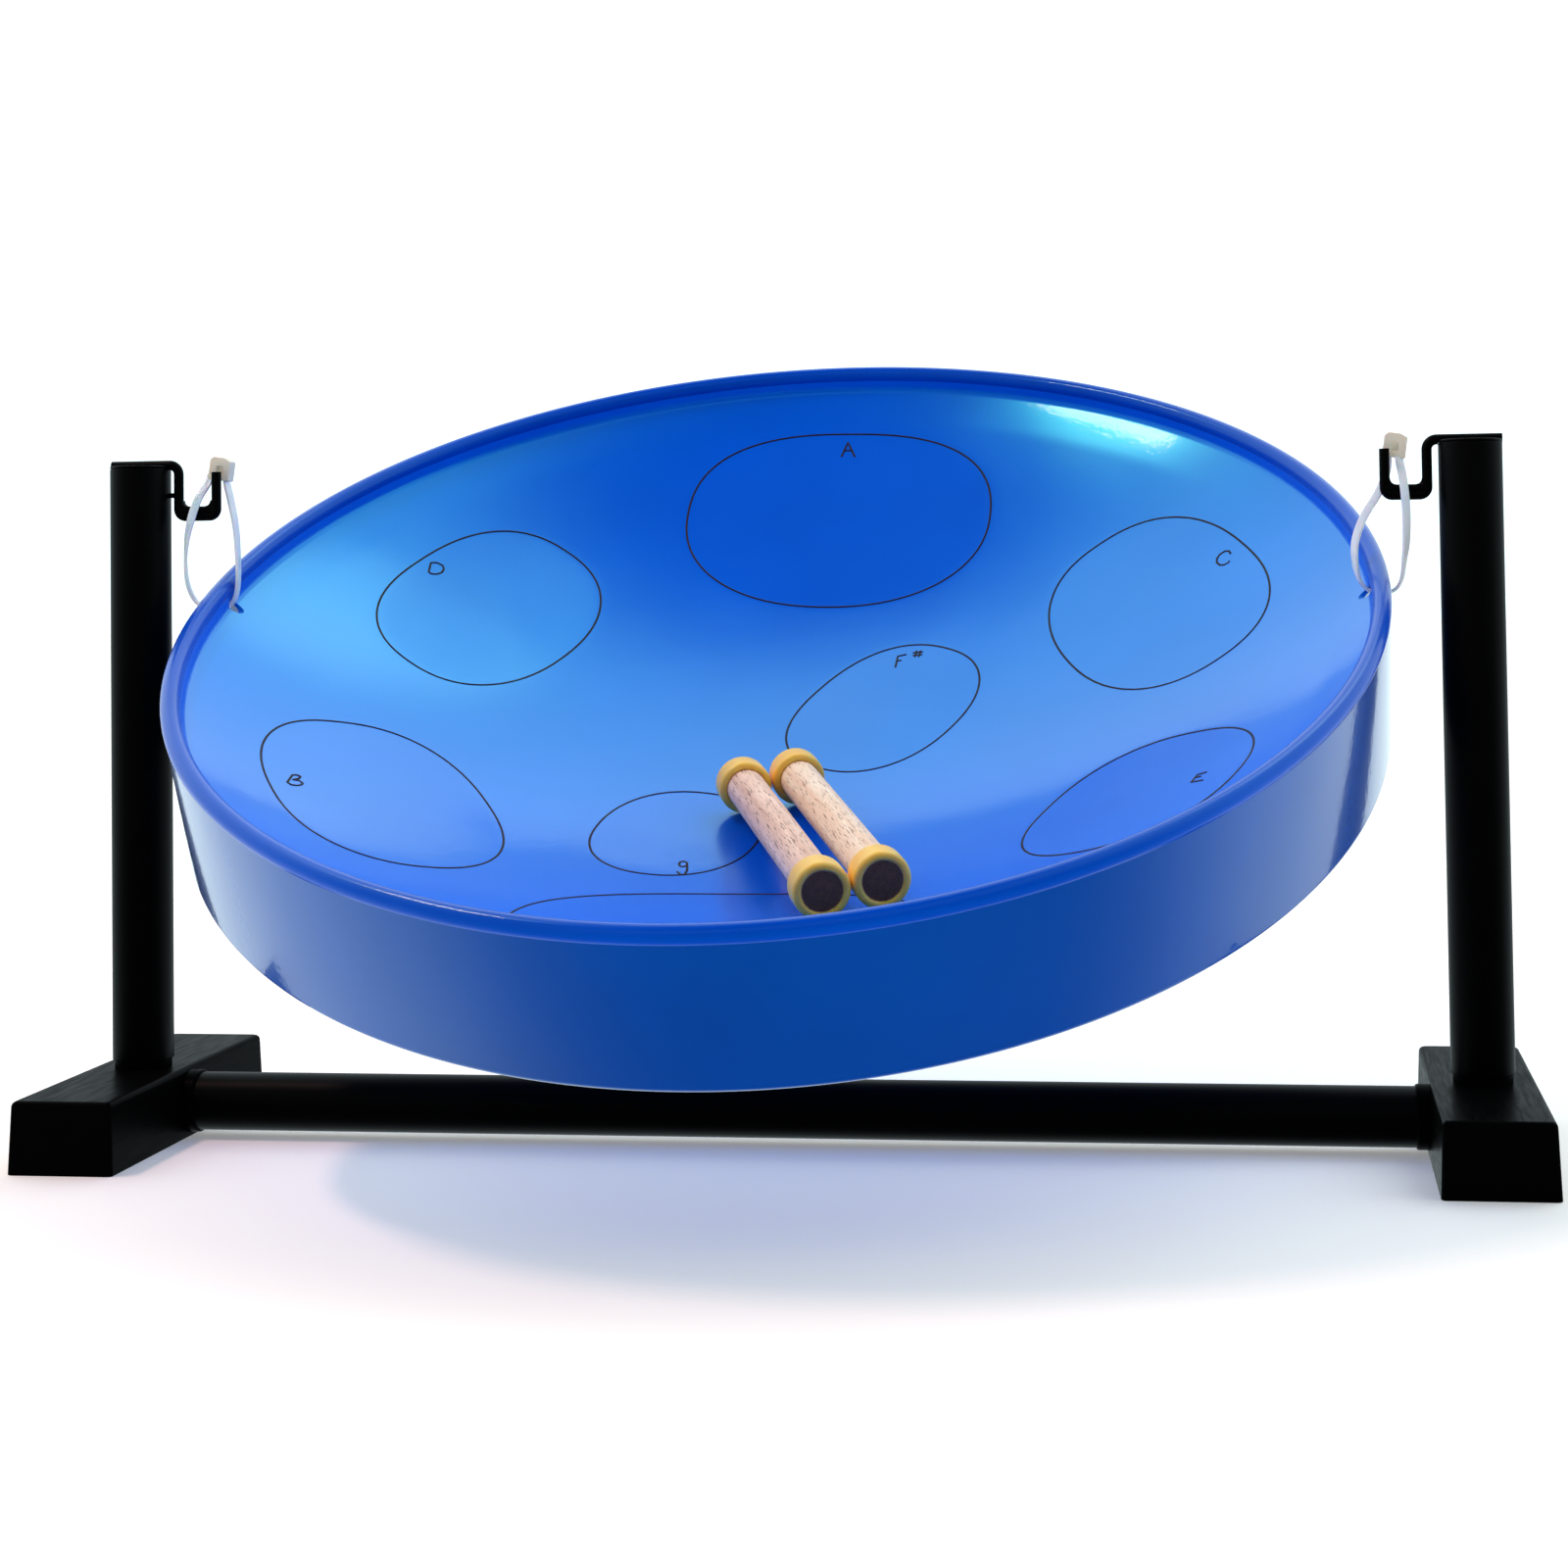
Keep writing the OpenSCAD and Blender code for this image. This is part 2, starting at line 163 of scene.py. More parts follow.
def fade(value, low, high, start, end):
    """A smooth step from start to end while value goes from low to high."""
    return add(tent, "ShaderNodeMapRange", {"Value": value, "From Min": low, "From Max": high,
               "To Min": start, "To Max": end}, interpolation_type="SMOOTHSTEP").outputs["Result"]


TENT_BRIGHT = 1.72      # from 38 degrees up
HORIZON_BRIGHT = 1.3    # level with the table and below
FRONT_DIM = 0.30        # times as bright in front
CEILING_DARK = 0.03     # times as bright in the gap nearly overhead
BELOW_DARK = 0.08       # times as bright in the gap low in front
GLOW = 2.6              # added high at the back right
BACKDROP_BRIGHT = 1.5   # what the camera sees behind the object
ceiling = fade(facing(-150, 74), math.cos(math.radians(33)), math.cos(math.radians(14)),
               1.0, CEILING_DARK)
height = fade(facing(0, 90), 0.10, 0.62, HORIZON_BRIGHT, TENT_BRIGHT)
front = fade(facing(180, 0), -0.1, 0.7, 1.0, FRONT_DIM)
glow = fade(facing(38, 63), math.cos(math.radians(14)), math.cos(math.radians(2)), 0.0, GLOW)
shaded = add(tent, "ShaderNodeMath", {0: ceiling, 1: height}, operation="MULTIPLY")
below = fade(facing(155, -38), 0.2, 0.8, 1.0, BELOW_DARK)
fronted = add(tent, "ShaderNodeMath", {0: shaded.outputs["Value"], 1: front}, operation="MULTIPLY")
dimmed = add(tent, "ShaderNodeMath", {0: fronted.outputs["Value"], 1: below}, operation="MULTIPLY")
strength = add(tent, "ShaderNodeMath", {0: dimmed.outputs["Value"], 1: glow}, operation="ADD")
seen_directly = add(tent, "ShaderNodeLightPath").outputs["Is Camera Ray"]
backdrop = add(tent, "ShaderNodeMix", {"Factor": seen_directly, "A": strength.outputs["Value"],
               "B": BACKDROP_BRIGHT})
tent.links.new(backdrop.outputs["Result"], tent.nodes["Background"].inputs["Strength"])
tent.nodes["Background"].inputs["Color"].default_value = linear("#e8faff")
bpy.context.scene.view_settings.view_transform = "Standard"
print("tent has", len(tent.nodes), "nodes")

# %% Hang the soft box
BOX_DISTANCE = 1.6                # m from the pan
BOX_WARMTH = (1.0, 0.66, 0.60)    # offsets the blue-green reflection of the enamel
PAN_MIDDLE = Vector((0, 0, 150 * MM))


def soft_box(name, azimuth, elevation, width, depth, watts):
    """A rectangular lamp that looks at the middle of the pan from a direction in the sky."""
    a, e = math.radians(azimuth), math.radians(elevation)
    way = Vector((math.sin(a) * math.cos(e), math.cos(a) * math.cos(e), math.sin(e)))
    lamp = bpy.data.lights.new(name, "AREA")
    lamp.shape, lamp.size, lamp.size_y, lamp.energy = "RECTANGLE", width, depth, watts
    lamp.color = BOX_WARMTH
    holder = put(name, lamp)
    holder.location = PAN_MIDDLE + way * BOX_DISTANCE
    holder.rotation_euler = way.to_track_quat("Z", "Y").to_euler()


soft_box("left_soft_box", -107, 60, 0.46, 0.12, 8.5)
print("the soft box hangs", BOX_DISTANCE, "m from the pan")

# %% [markdown]
# ## The table
# The floor is a wide plain sheet that glows a little, as a light table does, which keeps the
# shadows pale. It is part of the studio and not of the object, and the gloss of the
# enamel looks past it into the tent. The sheet could curve up at the back to hide
# its edge, but the white backdrop already does that.

# %% Lay the floor
FLOOR_HALF = 9   # m, half the side of the sheet
floor_mesh = bpy.data.meshes.new("studio_floor")
floor_mesh.from_pydata([(-FLOOR_HALF, -FLOOR_HALF, 0), (FLOOR_HALF, -FLOOR_HALF, 0),
                        (FLOOR_HALF, FLOOR_HALF, 0), (-FLOOR_HALF, FLOOR_HALF, 0)],
                       [], [(0, 1, 2, 3)])
studio_floor = put("studio_floor", floor_mesh)
studio_floor.visible_glossy = False
floor_finish, tree, shader = start_finish("white_light_table", Roughness=0.8,
                                          Specular_IOR_Level=0.0, Emission_Strength=0.22)
spot = add(tree, "ShaderNodeTexCoord").outputs["Object"]
mottle = add(tree, "ShaderNodeTexNoise", {"Vector": spot, "Scale": 9.0, "Detail": 3.0})
tone = add(tree, "ShaderNodeValToRGB", {"Fac": mottle.outputs["Fac"]})
tone.color_ramp.elements[0].color = linear("#fbf0e9")
tone.color_ramp.elements[1].color = linear("#fdf3ed")
tree.links.new(tone.outputs["Color"], shader.inputs["Base Color"])
floor_mesh.materials.append(floor_finish)
print("floor is", 2 * FLOOR_HALF, "m wide")

# %% [markdown]
# ## Blue stove enamel on steel
# The pan is spun from sheet steel and sprayed with a gloss blue enamel that holds fine pearl
# pigment. The pearl flakes mirror light in a greenish blue, which a tinted reflection of high
# index gives, and a clear skin of index 1.40 lies on top and adds white glints. A real pan has
# the same paint all over. Here the side band and the rolled rim get darker copies of the mix with
# less pearl, which is painted shade: the tent doesn't darken them enough by itself. The underside
# and the upright wall keep the bright mix. A spray
# gun leaves a fine orange peel a couple of millimetres across and long shallow waves where the
# sheet was worked, so a bump of two noises bends the glints. One colour would look like plastic,
# so the pigment drifts slightly between two blues.

# %% Enamel finishes
PEEL_MM = 2.2     # from one dimple of the orange peel to the next
WAVE_MM = 42.0    # from one hammered wave to the next
PEARL_TINT = (0.02, 0.85, 0.72, 1.0)


def blue_enamel(name, deep, light, pearl, clear_skin):
    """Blue paint under a clear skin. Pearl is how strongly its flakes mirror light."""
    paint, tree, shader = start_finish(name, Roughness=0.25, IOR=1.75, Specular_IOR_Level=pearl,
                                       Specular_Tint=PEARL_TINT, Coat_Roughness=0.04,
                                       Coat_Weight=clear_skin, Coat_IOR=1.40)
    spot = add(tree, "ShaderNodeTexCoord").outputs["Object"]
    drift = add(tree, "ShaderNodeTexNoise", {"Vector": spot, "Scale": 11.0, "Detail": 3.0})
    blues = add(tree, "ShaderNodeValToRGB", {"Fac": drift.outputs["Fac"]})
    blues.color_ramp.elements[0].position = 0.3
    blues.color_ramp.elements[0].color = linear(deep)
    blues.color_ramp.elements[1].position = 0.7
    blues.color_ramp.elements[1].color = linear(light)
    peel = add(tree, "ShaderNodeTexNoise", {"Vector": spot, "Scale": 1 / (PEEL_MM * MM),
               "Detail": 2.0})
    wave = add(tree, "ShaderNodeTexNoise", {"Vector": spot, "Scale": 1 / (WAVE_MM * MM),
               "Detail": 1.0})
    waved = add(tree, "ShaderNodeBump", {"Height": wave.outputs["Fac"], "Strength": 0.22,
                "Distance": 1.0 * MM})
    peeled = add(tree, "ShaderNodeBump", {"Height": peel.outputs["Fac"], "Strength": 0.4,
                 "Distance": 0.12 * MM, "Normal": waved.outputs["Normal"]})
    tree.links.new(blues.outputs["Color"], shader.inputs["Base Color"])
    tree.links.new(peeled.outputs["Normal"], shader.inputs["Coat Normal"])
    tree.links.new(waved.outputs["Normal"], shader.inputs["Normal"])
    return paint


enamel = blue_enamel("gloss_blue_pearl_enamel_on_steel", "#0053df", "#005ded", 0.72, 0.26)
# painted shade: darker copies of the same enamel with less pearl, for the side band and the rolled
# rim
shaded_side_enamel = blue_enamel("thin_blue_enamel_on_steel", "#003fa0", "#0046ae", 0.16, 0.85)
shaded_rim_enamel = blue_enamel("blue_enamel_on_rolled_rim", "#0042ba", "#004ac8", 0.12, 0.28)
print("orange peel every", PEEL_MM, "mm, sheet waves every", WAVE_MM, "mm")

# %% [markdown]
# ## Marker ink
# The notes are drawn on the enamel with a fine permanent marker. Its ink is a thin brown-black
# film that pools here and there, so its colour and its gloss both wander a little.

# %% Ink finish
ink, tree, shader = start_finish("brown_marker_ink", Specular_IOR_Level=0.12)
spot = add(tree, "ShaderNodeTexCoord").outputs["Object"]
pooling = add(tree, "ShaderNodeTexNoise", {"Vector": spot, "Scale": 1 / (4 * MM), "Detail": 2.0})
browns = add(tree, "ShaderNodeValToRGB", {"Fac": pooling.outputs["Fac"]})
browns.color_ramp.elements[0].color = linear("#140b10")
browns.color_ramp.elements[1].color = linear("#33202a")
film = add(tree, "ShaderNodeMapRange", {"Value": pooling.outputs["Fac"],
           "To Min": 0.3, "To Max": 0.55})
tree.links.new(browns.outputs["Color"], shader.inputs["Base Color"])
tree.links.new(film.outputs["Result"], shader.inputs["Roughness"])
print("ink has", len(tree.nodes), "nodes")

# %% [markdown]
# ## Two blacks
# The tubes and the hooks are steel with a satin powder coat, which shows a fine pebble about
# 0.6 mm across. The feet are injection moulded in black ABS, which is smoother, takes a soft
# reflection and picks up faint scuffs. Two finishes with different pebbles and gloss tell the
# two apart, where one black would run them together.

# %% Powder coat finish
PEBBLE_MM = 0.6
powder_coat, tree, shader = start_finish("satin_black_powder_coat", Specular_IOR_Level=0.035)
spot = add(tree, "ShaderNodeTexCoord").outputs["Object"]
pebble = add(tree, "ShaderNodeTexNoise", {"Vector": spot, "Scale": 1 / (PEBBLE_MM * MM),
             "Detail": 2.0})
cloud = add(tree, "ShaderNodeTexNoise", {"Vector": spot, "Scale": 22.0, "Detail": 3.0})
blacks = add(tree, "ShaderNodeValToRGB", {"Fac": cloud.outputs["Fac"]})
blacks.color_ramp.elements[0].color = linear("#020202")
blacks.color_ramp.elements[1].color = linear("#050505")
sheen = add(tree, "ShaderNodeMapRange", {"Value": cloud.outputs["Fac"],
            "To Min": 0.36, "To Max": 0.46})
grit = add(tree, "ShaderNodeBump", {"Height": pebble.outputs["Fac"], "Strength": 0.12,
           "Distance": 0.1 * MM})
tree.links.new(blacks.outputs["Color"], shader.inputs["Base Color"])
tree.links.new(sheen.outputs["Result"], shader.inputs["Roughness"])
tree.links.new(grit.outputs["Normal"], shader.inputs["Normal"])
print("powder pebble", PEBBLE_MM, "mm")

# %% Moulded ABS finish
moulded_abs, tree, shader = start_finish("moulded_black_abs", Specular_IOR_Level=0.008, IOR=1.4)
spot = add(tree, "ShaderNodeTexCoord").outputs["Object"]
flow = add(tree, "ShaderNodeTexNoise", {"Vector": spot, "Scale": 30.0, "Detail": 4.0})
along = add(tree, "ShaderNodeMapping", {"Vector": spot, "Scale": (900.0, 60.0, 900.0)})
scuff = add(tree, "ShaderNodeTexNoise", {"Vector": along.outputs["Vector"], "Scale": 1.0,
            "Detail": 3.0})
blacks = add(tree, "ShaderNodeValToRGB", {"Fac": flow.outputs["Fac"]})
blacks.color_ramp.elements[0].color = linear("#030303")
blacks.color_ramp.elements[1].color = linear("#060606")
gloss = add(tree, "ShaderNodeMapRange", {"Value": scuff.outputs["Fac"], "From Min": 0.35,
            "From Max": 0.75, "To Min": 0.30, "To Max": 0.44})
skin = add(tree, "ShaderNodeBump", {"Height": scuff.outputs["Fac"], "Strength": 0.06,
           "Distance": 0.1 * MM})
tree.links.new(blacks.outputs["Color"], shader.inputs["Base Color"])
tree.links.new(gloss.outputs["Result"], shader.inputs["Roughness"])
tree.links.new(skin.outputs["Normal"], shader.inputs["Normal"])
print("moulded finish has", len(tree.nodes), "nodes")

# %% [markdown]
# ## Nylon
# The ties are polyamide 6.6. The thin strap lets light through and looks bluish white, and the
# thick locking head is the ivory of the bulk plastic. Both scatter light under their skin, so
# they use subsurface scattering, the strap more than the head. Transmission could be used
# instead, but scattering is what gives natural nylon its milky look.

# %% Nylon finishes
nylon_strap, tree, shader = start_finish("clear_nylon_strap", Roughness=0.32, IOR=1.53,
                                         Subsurface_Weight=0.5,
                                         Subsurface_Scale=1.2 * MM)
spot = add(tree, "ShaderNodeTexCoord").outputs["Object"]
haze = add(tree, "ShaderNodeTexNoise", {"Vector": spot, "Scale": 160.0, "Detail": 2.0})
whites = add(tree, "ShaderNodeValToRGB", {"Fac": haze.outputs["Fac"]})
whites.color_ramp.elements[0].color = linear("#d5e2f0")
whites.color_ramp.elements[1].color = linear("#eef4fb")
tree.links.new(whites.outputs["Color"], shader.inputs["Base Color"])

nylon_head, tree, shader = start_finish("ivory_nylon_head", Roughness=0.42, IOR=1.53,
                                        Subsurface_Weight=0.35, Subsurface_Scale=1.5 * MM)
spot = add(tree, "ShaderNodeTexCoord").outputs["Object"]
haze = add(tree, "ShaderNodeTexNoise", {"Vector": spot, "Scale": 240.0, "Detail": 3.0})
ivories = add(tree, "ShaderNodeValToRGB", {"Fac": haze.outputs["Fac"]})
ivories.color_ramp.elements[0].color = linear("#ddd3bf")
ivories.color_ramp.elements[1].color = linear("#f1eadb")
grain = add(tree, "ShaderNodeBump", {"Height": haze.outputs["Fac"], "Strength": 0.15,
            "Distance": 0.2 * MM})
tree.links.new(ivories.outputs["Color"], shader.inputs["Base Color"])
tree.links.new(grain.outputs["Normal"], shader.inputs["Normal"])
print("nylon finishes:", nylon_strap.name, nylon_head.name)

# %% [markdown]
# ## Dowel wood
# The sticks are turned from an open-pored tropical hardwood, unvarnished. Along the dowel, dark
# pores run as short thin dashes about 0.3 mm wide and 5 mm long over a pale tan ground. The cut
# ends drink in finish and go dark brown, with pores as dots. The pattern has to follow each
# stick, so it reads an attribute that holds every point's place on its own stick, in
# millimetres, with the third number along the grain.

# %% Side grain and end grain
def dowel_wood(name, pale, dark, pore_colour, gloss):
    """Open-pored side grain between two tans."""
    wood, tree, shader = start_finish(name, Roughness=gloss, Specular_IOR_Level=0.3)
    place = add(tree, "ShaderNodeAttribute", attribute_name="stick_mm").outputs["Vector"]
    bands = add(tree, "ShaderNodeMapping", {"Vector": place, "Scale": (0.35, 0.35, 0.02)})
    band = add(tree, "ShaderNodeTexNoise", {"Vector": bands.outputs["Vector"], "Scale": 1.0,
               "Detail": 4.0, "Distortion": 0.6})
    tans = add(tree, "ShaderNodeValToRGB", {"Fac": band.outputs["Fac"]})
    tans.color_ramp.elements[0].position = 0.30
    tans.color_ramp.elements[0].color = linear(dark)
    tans.color_ramp.elements[1].position = 0.68
    tans.color_ramp.elements[1].color = linear(pale)
    stretched = add(tree, "ShaderNodeMapping", {"Vector": place, "Scale": (2.4, 2.4, 0.17)})
    pores = add(tree, "ShaderNodeTexNoise", {"Vector": stretched.outputs["Vector"], "Scale": 1.0,
                "Detail": 2.0, "Roughness": 0.6})
    mask = add(tree, "ShaderNodeMapRange", {"Value": pores.outputs["Fac"], "From Min": 0.56,
               "From Max": 0.66, "To Min": 0.0, "To Max": 0.75})
    mixed = add(tree, "ShaderNodeMix", data_type="RGBA")
    tree.links.new(mask.outputs["Result"], mixed.inputs["Factor"])
    tree.links.new(tans.outputs["Color"], mixed.inputs[6])
    mixed.inputs[7].default_value = linear(pore_colour)
    sunk = add(tree, "ShaderNodeBump", {"Height": mask.outputs["Result"], "Strength": 0.4,
               "Distance": 0.12 * MM}, invert=True)
    tree.links.new(mixed.outputs[2], shader.inputs["Base Color"])
    tree.links.new(sunk.outputs["Normal"], shader.inputs["Normal"])
    return wood


brown_wood = dowel_wood("open_pored_hardwood", "#fcd9c6", "#dcb09a", "#603c2e", 0.62)
golden_wood = dowel_wood("golden_hardwood", "#ffe8d2", "#f0c8aa", "#8c6040", 0.58)

end_grain, tree, shader = start_finish("sealed_end_grain", Roughness=0.55, Specular_IOR_Level=0.35)
place = add(tree, "ShaderNodeAttribute", attribute_name="stick_mm").outputs["Vector"]
dots = add(tree, "ShaderNodeTexVoronoi", {"Vector": place, "Scale": 1.7})
clouds = add(tree, "ShaderNodeTexNoise", {"Vector": place, "Scale": 0.45, "Detail": 3.0})
umbers = add(tree, "ShaderNodeValToRGB", {"Fac": clouds.outputs["Fac"]})
umbers.color_ramp.elements[0].color = linear("#4a2a16")
umbers.color_ramp.elements[1].color = linear("#7a5030")
pit = add(tree, "ShaderNodeMapRange", {"Value": dots.outputs["Distance"], "From Min": 0.1,
          "From Max": 0.35})
darker = add(tree, "ShaderNodeMix", data_type="RGBA")
tree.links.new(pit.outputs["Result"], darker.inputs["Factor"])
darker.inputs[6].default_value = linear("#2a160c")
tree.links.new(umbers.outputs["Color"], darker.inputs[7])
pitted = add(tree, "ShaderNodeBump", {"Height": pit.outputs["Result"], "Strength": 0.4,
             "Distance": 0.15 * MM})
tree.links.new(darker.outputs[2], shader.inputs["Base Color"])
tree.links.new(pitted.outputs["Normal"], shader.inputs["Normal"])
print("wood finishes:", brown_wood.name, golden_wood.name, end_grain.name)

# %% [markdown]
# ## Rubber tips, and metals that hide inside
# The tips are short lengths of yellow latex tube. Latex glows where light enters it, so it
# scatters under its skin, and its surface is faintly mottled. The screws are zinc plated and the
# inserts are brass: metals keep the shader's own index of refraction, and their colour and
# a brushed roughness do the work.

# %% Rubber finish
latex, tree, shader = start_finish("yellow_latex_tube", Roughness=0.36, IOR=1.52,
                                   Subsurface_Weight=0.60, Subsurface_Scale=2.5 * MM)
spot = add(tree, "ShaderNodeTexCoord").outputs["Object"]
mottle = add(tree, "ShaderNodeTexNoise", {"Vector": spot, "Scale": 170.0, "Detail": 3.0})
yellows = add(tree, "ShaderNodeValToRGB", {"Fac": mottle.outputs["Fac"]})
yellows.color_ramp.elements[0].color = linear("#ffbb2c")
yellows.color_ramp.elements[1].color = linear("#ffd368")
dimple = add(tree, "ShaderNodeBump", {"Height": mottle.outputs["Fac"], "Strength": 0.12,
             "Distance": 0.2 * MM})
tree.links.new(yellows.outputs["Color"], shader.inputs["Base Color"])
tree.links.new(dimple.outputs["Normal"], shader.inputs["Normal"])

# %% Metal finishes
def plated(name, light, dark, polish):
    """A turned metal part with faint circular brushing."""
    metal, tree, shader = start_finish(name, Metallic=1.0)
    spot = add(tree, "ShaderNodeTexCoord").outputs["Object"]
    rings = add(tree, "ShaderNodeMapping", {"Vector": spot, "Scale": (120.0, 120.0, 4000.0)})
    lathe_marks = add(tree, "ShaderNodeTexNoise", {"Vector": rings.outputs["Vector"], "Scale": 1.0})
    tones = add(tree, "ShaderNodeValToRGB", {"Fac": lathe_marks.outputs["Fac"]})
    tones.color_ramp.elements[0].color = linear(dark)
    tones.color_ramp.elements[1].color = linear(light)
    rub = add(tree, "ShaderNodeMapRange", {"Value": lathe_marks.outputs["Fac"],
              "To Min": polish, "To Max": polish + 0.2})
    tree.links.new(tones.outputs["Color"], shader.inputs["Base Color"])
    tree.links.new(rub.outputs["Result"], shader.inputs["Roughness"])
    return metal


zinc_plate = plated("zinc_plated_steel", "#c9ccd2", "#a2a6ad", 0.25)
brass = plated("turned_brass", "#d9bb6a", "#b8954a", 0.22)
print("finishes so far:", len(bpy.data.materials))

# %% [markdown]
# ## Turning on a lathe
# Tubes, caps, rings and sticks are all turned parts, so one helper spins an outline round an
# axis. Blender's Screw modifier could do that too, but plain rings of points close cleanly at the
# axis and need no apply. The helper also records each point's place on the part, for wood grain.

# %% Mesh helpers
SHARP_DEGREES = 32


def moved_to(place):
    """The matrix that moves a mesh to a place given in mm."""
    return Matrix.Translation(Vector(place) * MM)


def keep(name, mesh, finishes, body, stands_for=()):
    """Links a finished mesh as a piece that rides on a body and may stand for CAD nodes."""
    mesh.name = name
    piece = put(name, mesh)
    mesh.materials.clear()
    for finish in finishes:
        mesh.materials.append(finish)
    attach(piece, body)
    if stands_for:
        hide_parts(*stands_for)
    return piece


def shade(mesh, sharp=SHARP_DEGREES):
    """Shades a mesh smooth except at edges sharper than an angle in degrees."""
    mesh.shade_smooth()
    mesh.set_sharp_from_angle(angle=math.radians(sharp))
    return mesh


def close_up(mesh, sharp=SHARP_DEGREES):
    """Merges doubles, turns faces outwards and shades smooth except at sharp edges."""
    work = bmesh.new()
    work.from_mesh(mesh)
    bmesh.ops.remove_doubles(work, verts=work.verts, dist=1e-6)
    bmesh.ops.recalc_face_normals(work, faces=work.faces)
    work.to_mesh(mesh)
    work.free()
    return shade(mesh, sharp)


def turned(outline, matrix, steps=96, closed=True):
    """Spins an outline of (radius, z) points, in mm, round z and places it with a matrix.

    A closed outline is a ring's section. An open one starts and ends on the axis.
    """
    points, faces, rings = [], [], []
    for radius, z in outline:
        if radius < 1e-6:
            rings.append([len(points)] * steps)
            points.append((0, 0, z))
        else:
            rings.append(range(len(points), len(points) + steps))
            points += [(radius * math.cos(2 * math.pi * k / steps),
                        radius * math.sin(2 * math.pi * k / steps), z) for k in range(steps)]
    pairs = list(zip(rings, rings[1:] + rings[:1] if closed else rings[1:]))
    for low, high in pairs:
        for k in range(steps):
            n = (k + 1) % steps
            corners = list(dict.fromkeys([low[k], low[n], high[n], high[k]]))
            if len(corners) > 2:
                faces.append(corners)
    mesh = bpy.data.meshes.new("turned")
    mesh.from_pydata(points, [], faces)
    own = mesh.attributes.new("stick_mm", "FLOAT_VECTOR", "POINT")
    own.data.foreach_set("vector", np.array(points, np.float32).ravel())
    mesh.transform(matrix @ Matrix.Scale(MM, 4))
    return close_up(mesh)


def bend(centre, radius, start, end, steps=6):
    """Points of a rounded corner in an outline, from one angle to another."""
    return [(centre[0] + radius * math.cos(math.radians(start + (end - start) * i / steps)),
             centre[1] + radius * math.sin(math.radians(start + (end - start) * i / steps)))
            for i in range(steps + 1)]


def node_points(node):
    """A CAD node's points, in mm, as rows of an array."""
    return np.array([v.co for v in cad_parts[node].data.vertices]) / MM


def node_box(node):
    """Lowest corner, highest corner and middle of a CAD node, in mm."""
    low, high = (np.array(corner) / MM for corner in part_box(node))
    return low, high, (low + high) / 2


print("sharp edges start at", SHARP_DEGREES, "degrees")

# %% [markdown]
# ## Where the pan hangs
# The rim is a ring, so the middle of its box is the middle of the ring, and the box's height
# tells how far the pan leans. Everything on the pan is then drawn flat, in the pan's own frame,
# with z = 0 at the top of the rim and +y to the raised back, and one matrix hangs it in place.

# %% Find the pan's frame
RIM_ROLL = 6.4   # mm, thickness of the rolled rim
rim_low, rim_high, rim_middle = node_box("rim_ring")
rim_r = (rim_high - rim_low)[0] / 2
ring_r = rim_r - RIM_ROLL / 2
pan_lean = math.asin(((rim_high - rim_low)[2] / 2 - RIM_ROLL / 2) / ring_r)
pan_place = (moved_to(rim_middle) @ Matrix.Rotation(pan_lean, 4, "X")
             @ moved_to((0, 0, RIM_ROLL / 2)))
print("rim radius", round(rim_r, 2), "mm, lean", round(math.degrees(pan_lean), 2), "degrees")

# %% [markdown]
# ## Seven notes
# A maker hammers each note into the bowl as a shallow dome and tunes it. Five big notes sit
# round the edge, one more lies at the front, and two small ones sit near the middle. Each
# outline is a rounded oval, between an ellipse and a box, which a superellipse gives with one
# number. The dome is highest at the middle and fades out at the outline.

# %% Note table
# name: centre x, centre y, half length, half width, turn of the length in degrees, squareness,
# height of the dome; lengths in mm, in the pan's frame
NOTES = {
    "A": (-1.4, 138.4, 59.4, 41.2, -0.9, 2.31, 2.0),
    "D": (-121.8, 67.0, 45.8, 31.9, 64.7, 2.33, 1.6),
    "B": (-122.3, -69.0, 51.6, 34.1, 122.5, 2.33, 1.6),
    "C": (123.9, 63.4, 50.4, 34.9, 116.0, 2.31, 1.6),
    "E": (122.0, -66.5, 42.5, 33.0, 66.0, 2.31, 1.6),
    "F": (26.9, 35.7, 39.3, 29.6, 60.2, 2.27, 1.1),
    "g": (-31.0, -51.5, 33.6, 27.0, 85.0, 2.20, 0.7),
    "G": (0.0, -142.0, 59.5, 41.5, 0.0, 2.31, 0.7),
}
SETTLE = 0.7   # mm that the sheet between the notes lies lower than the tops of the front domes


def oval_reach(note, x, y):
    """How far a point lies from a note's middle: below 1 inside its outline, above 1 outside."""
    cx, cy, half_l, half_w, angle, square = note[:6]
    c, s = math.cos(math.radians(angle)), math.sin(math.radians(angle))
    along, across = (x - cx) * c + (y - cy) * s, (y - cy) * c - (x - cx) * s
    return (abs(along / half_l) ** square + abs(across / half_w) ** square) ** (1 / square)


DOME_SPREAD = -0.6     # a dome is left out where 1 - reach squared is below this
DOME_BLEND = 0.05      # how softly the dome runs out at its outline


def dome_height(x, y):
    """Height of the notes' domes above the sheet at one point."""
    height = 0.0
    for note in NOTES.values():
        inside = 1 - oval_reach(note, x, y) ** 2
        if inside > DOME_SPREAD:
            height += note[6] * (inside + math.sqrt(inside ** 2 + DOME_BLEND ** 2)) / 2
    return height


print("notes:", len(NOTES))

# %% [markdown]
# ## The bowl
# The bowl is sunk from flat sheet, so its surface is close to a ball's, with a tight bend at the
# foot of a short upright wall. A sphere cut by a Boolean could give the form, but not the domes,
# so the surface is made ring by ring, and each point is dropped to its own height. A Solidify
# modifier then gives the sheet its thickness, and a Boolean bores the two holes for the ties.

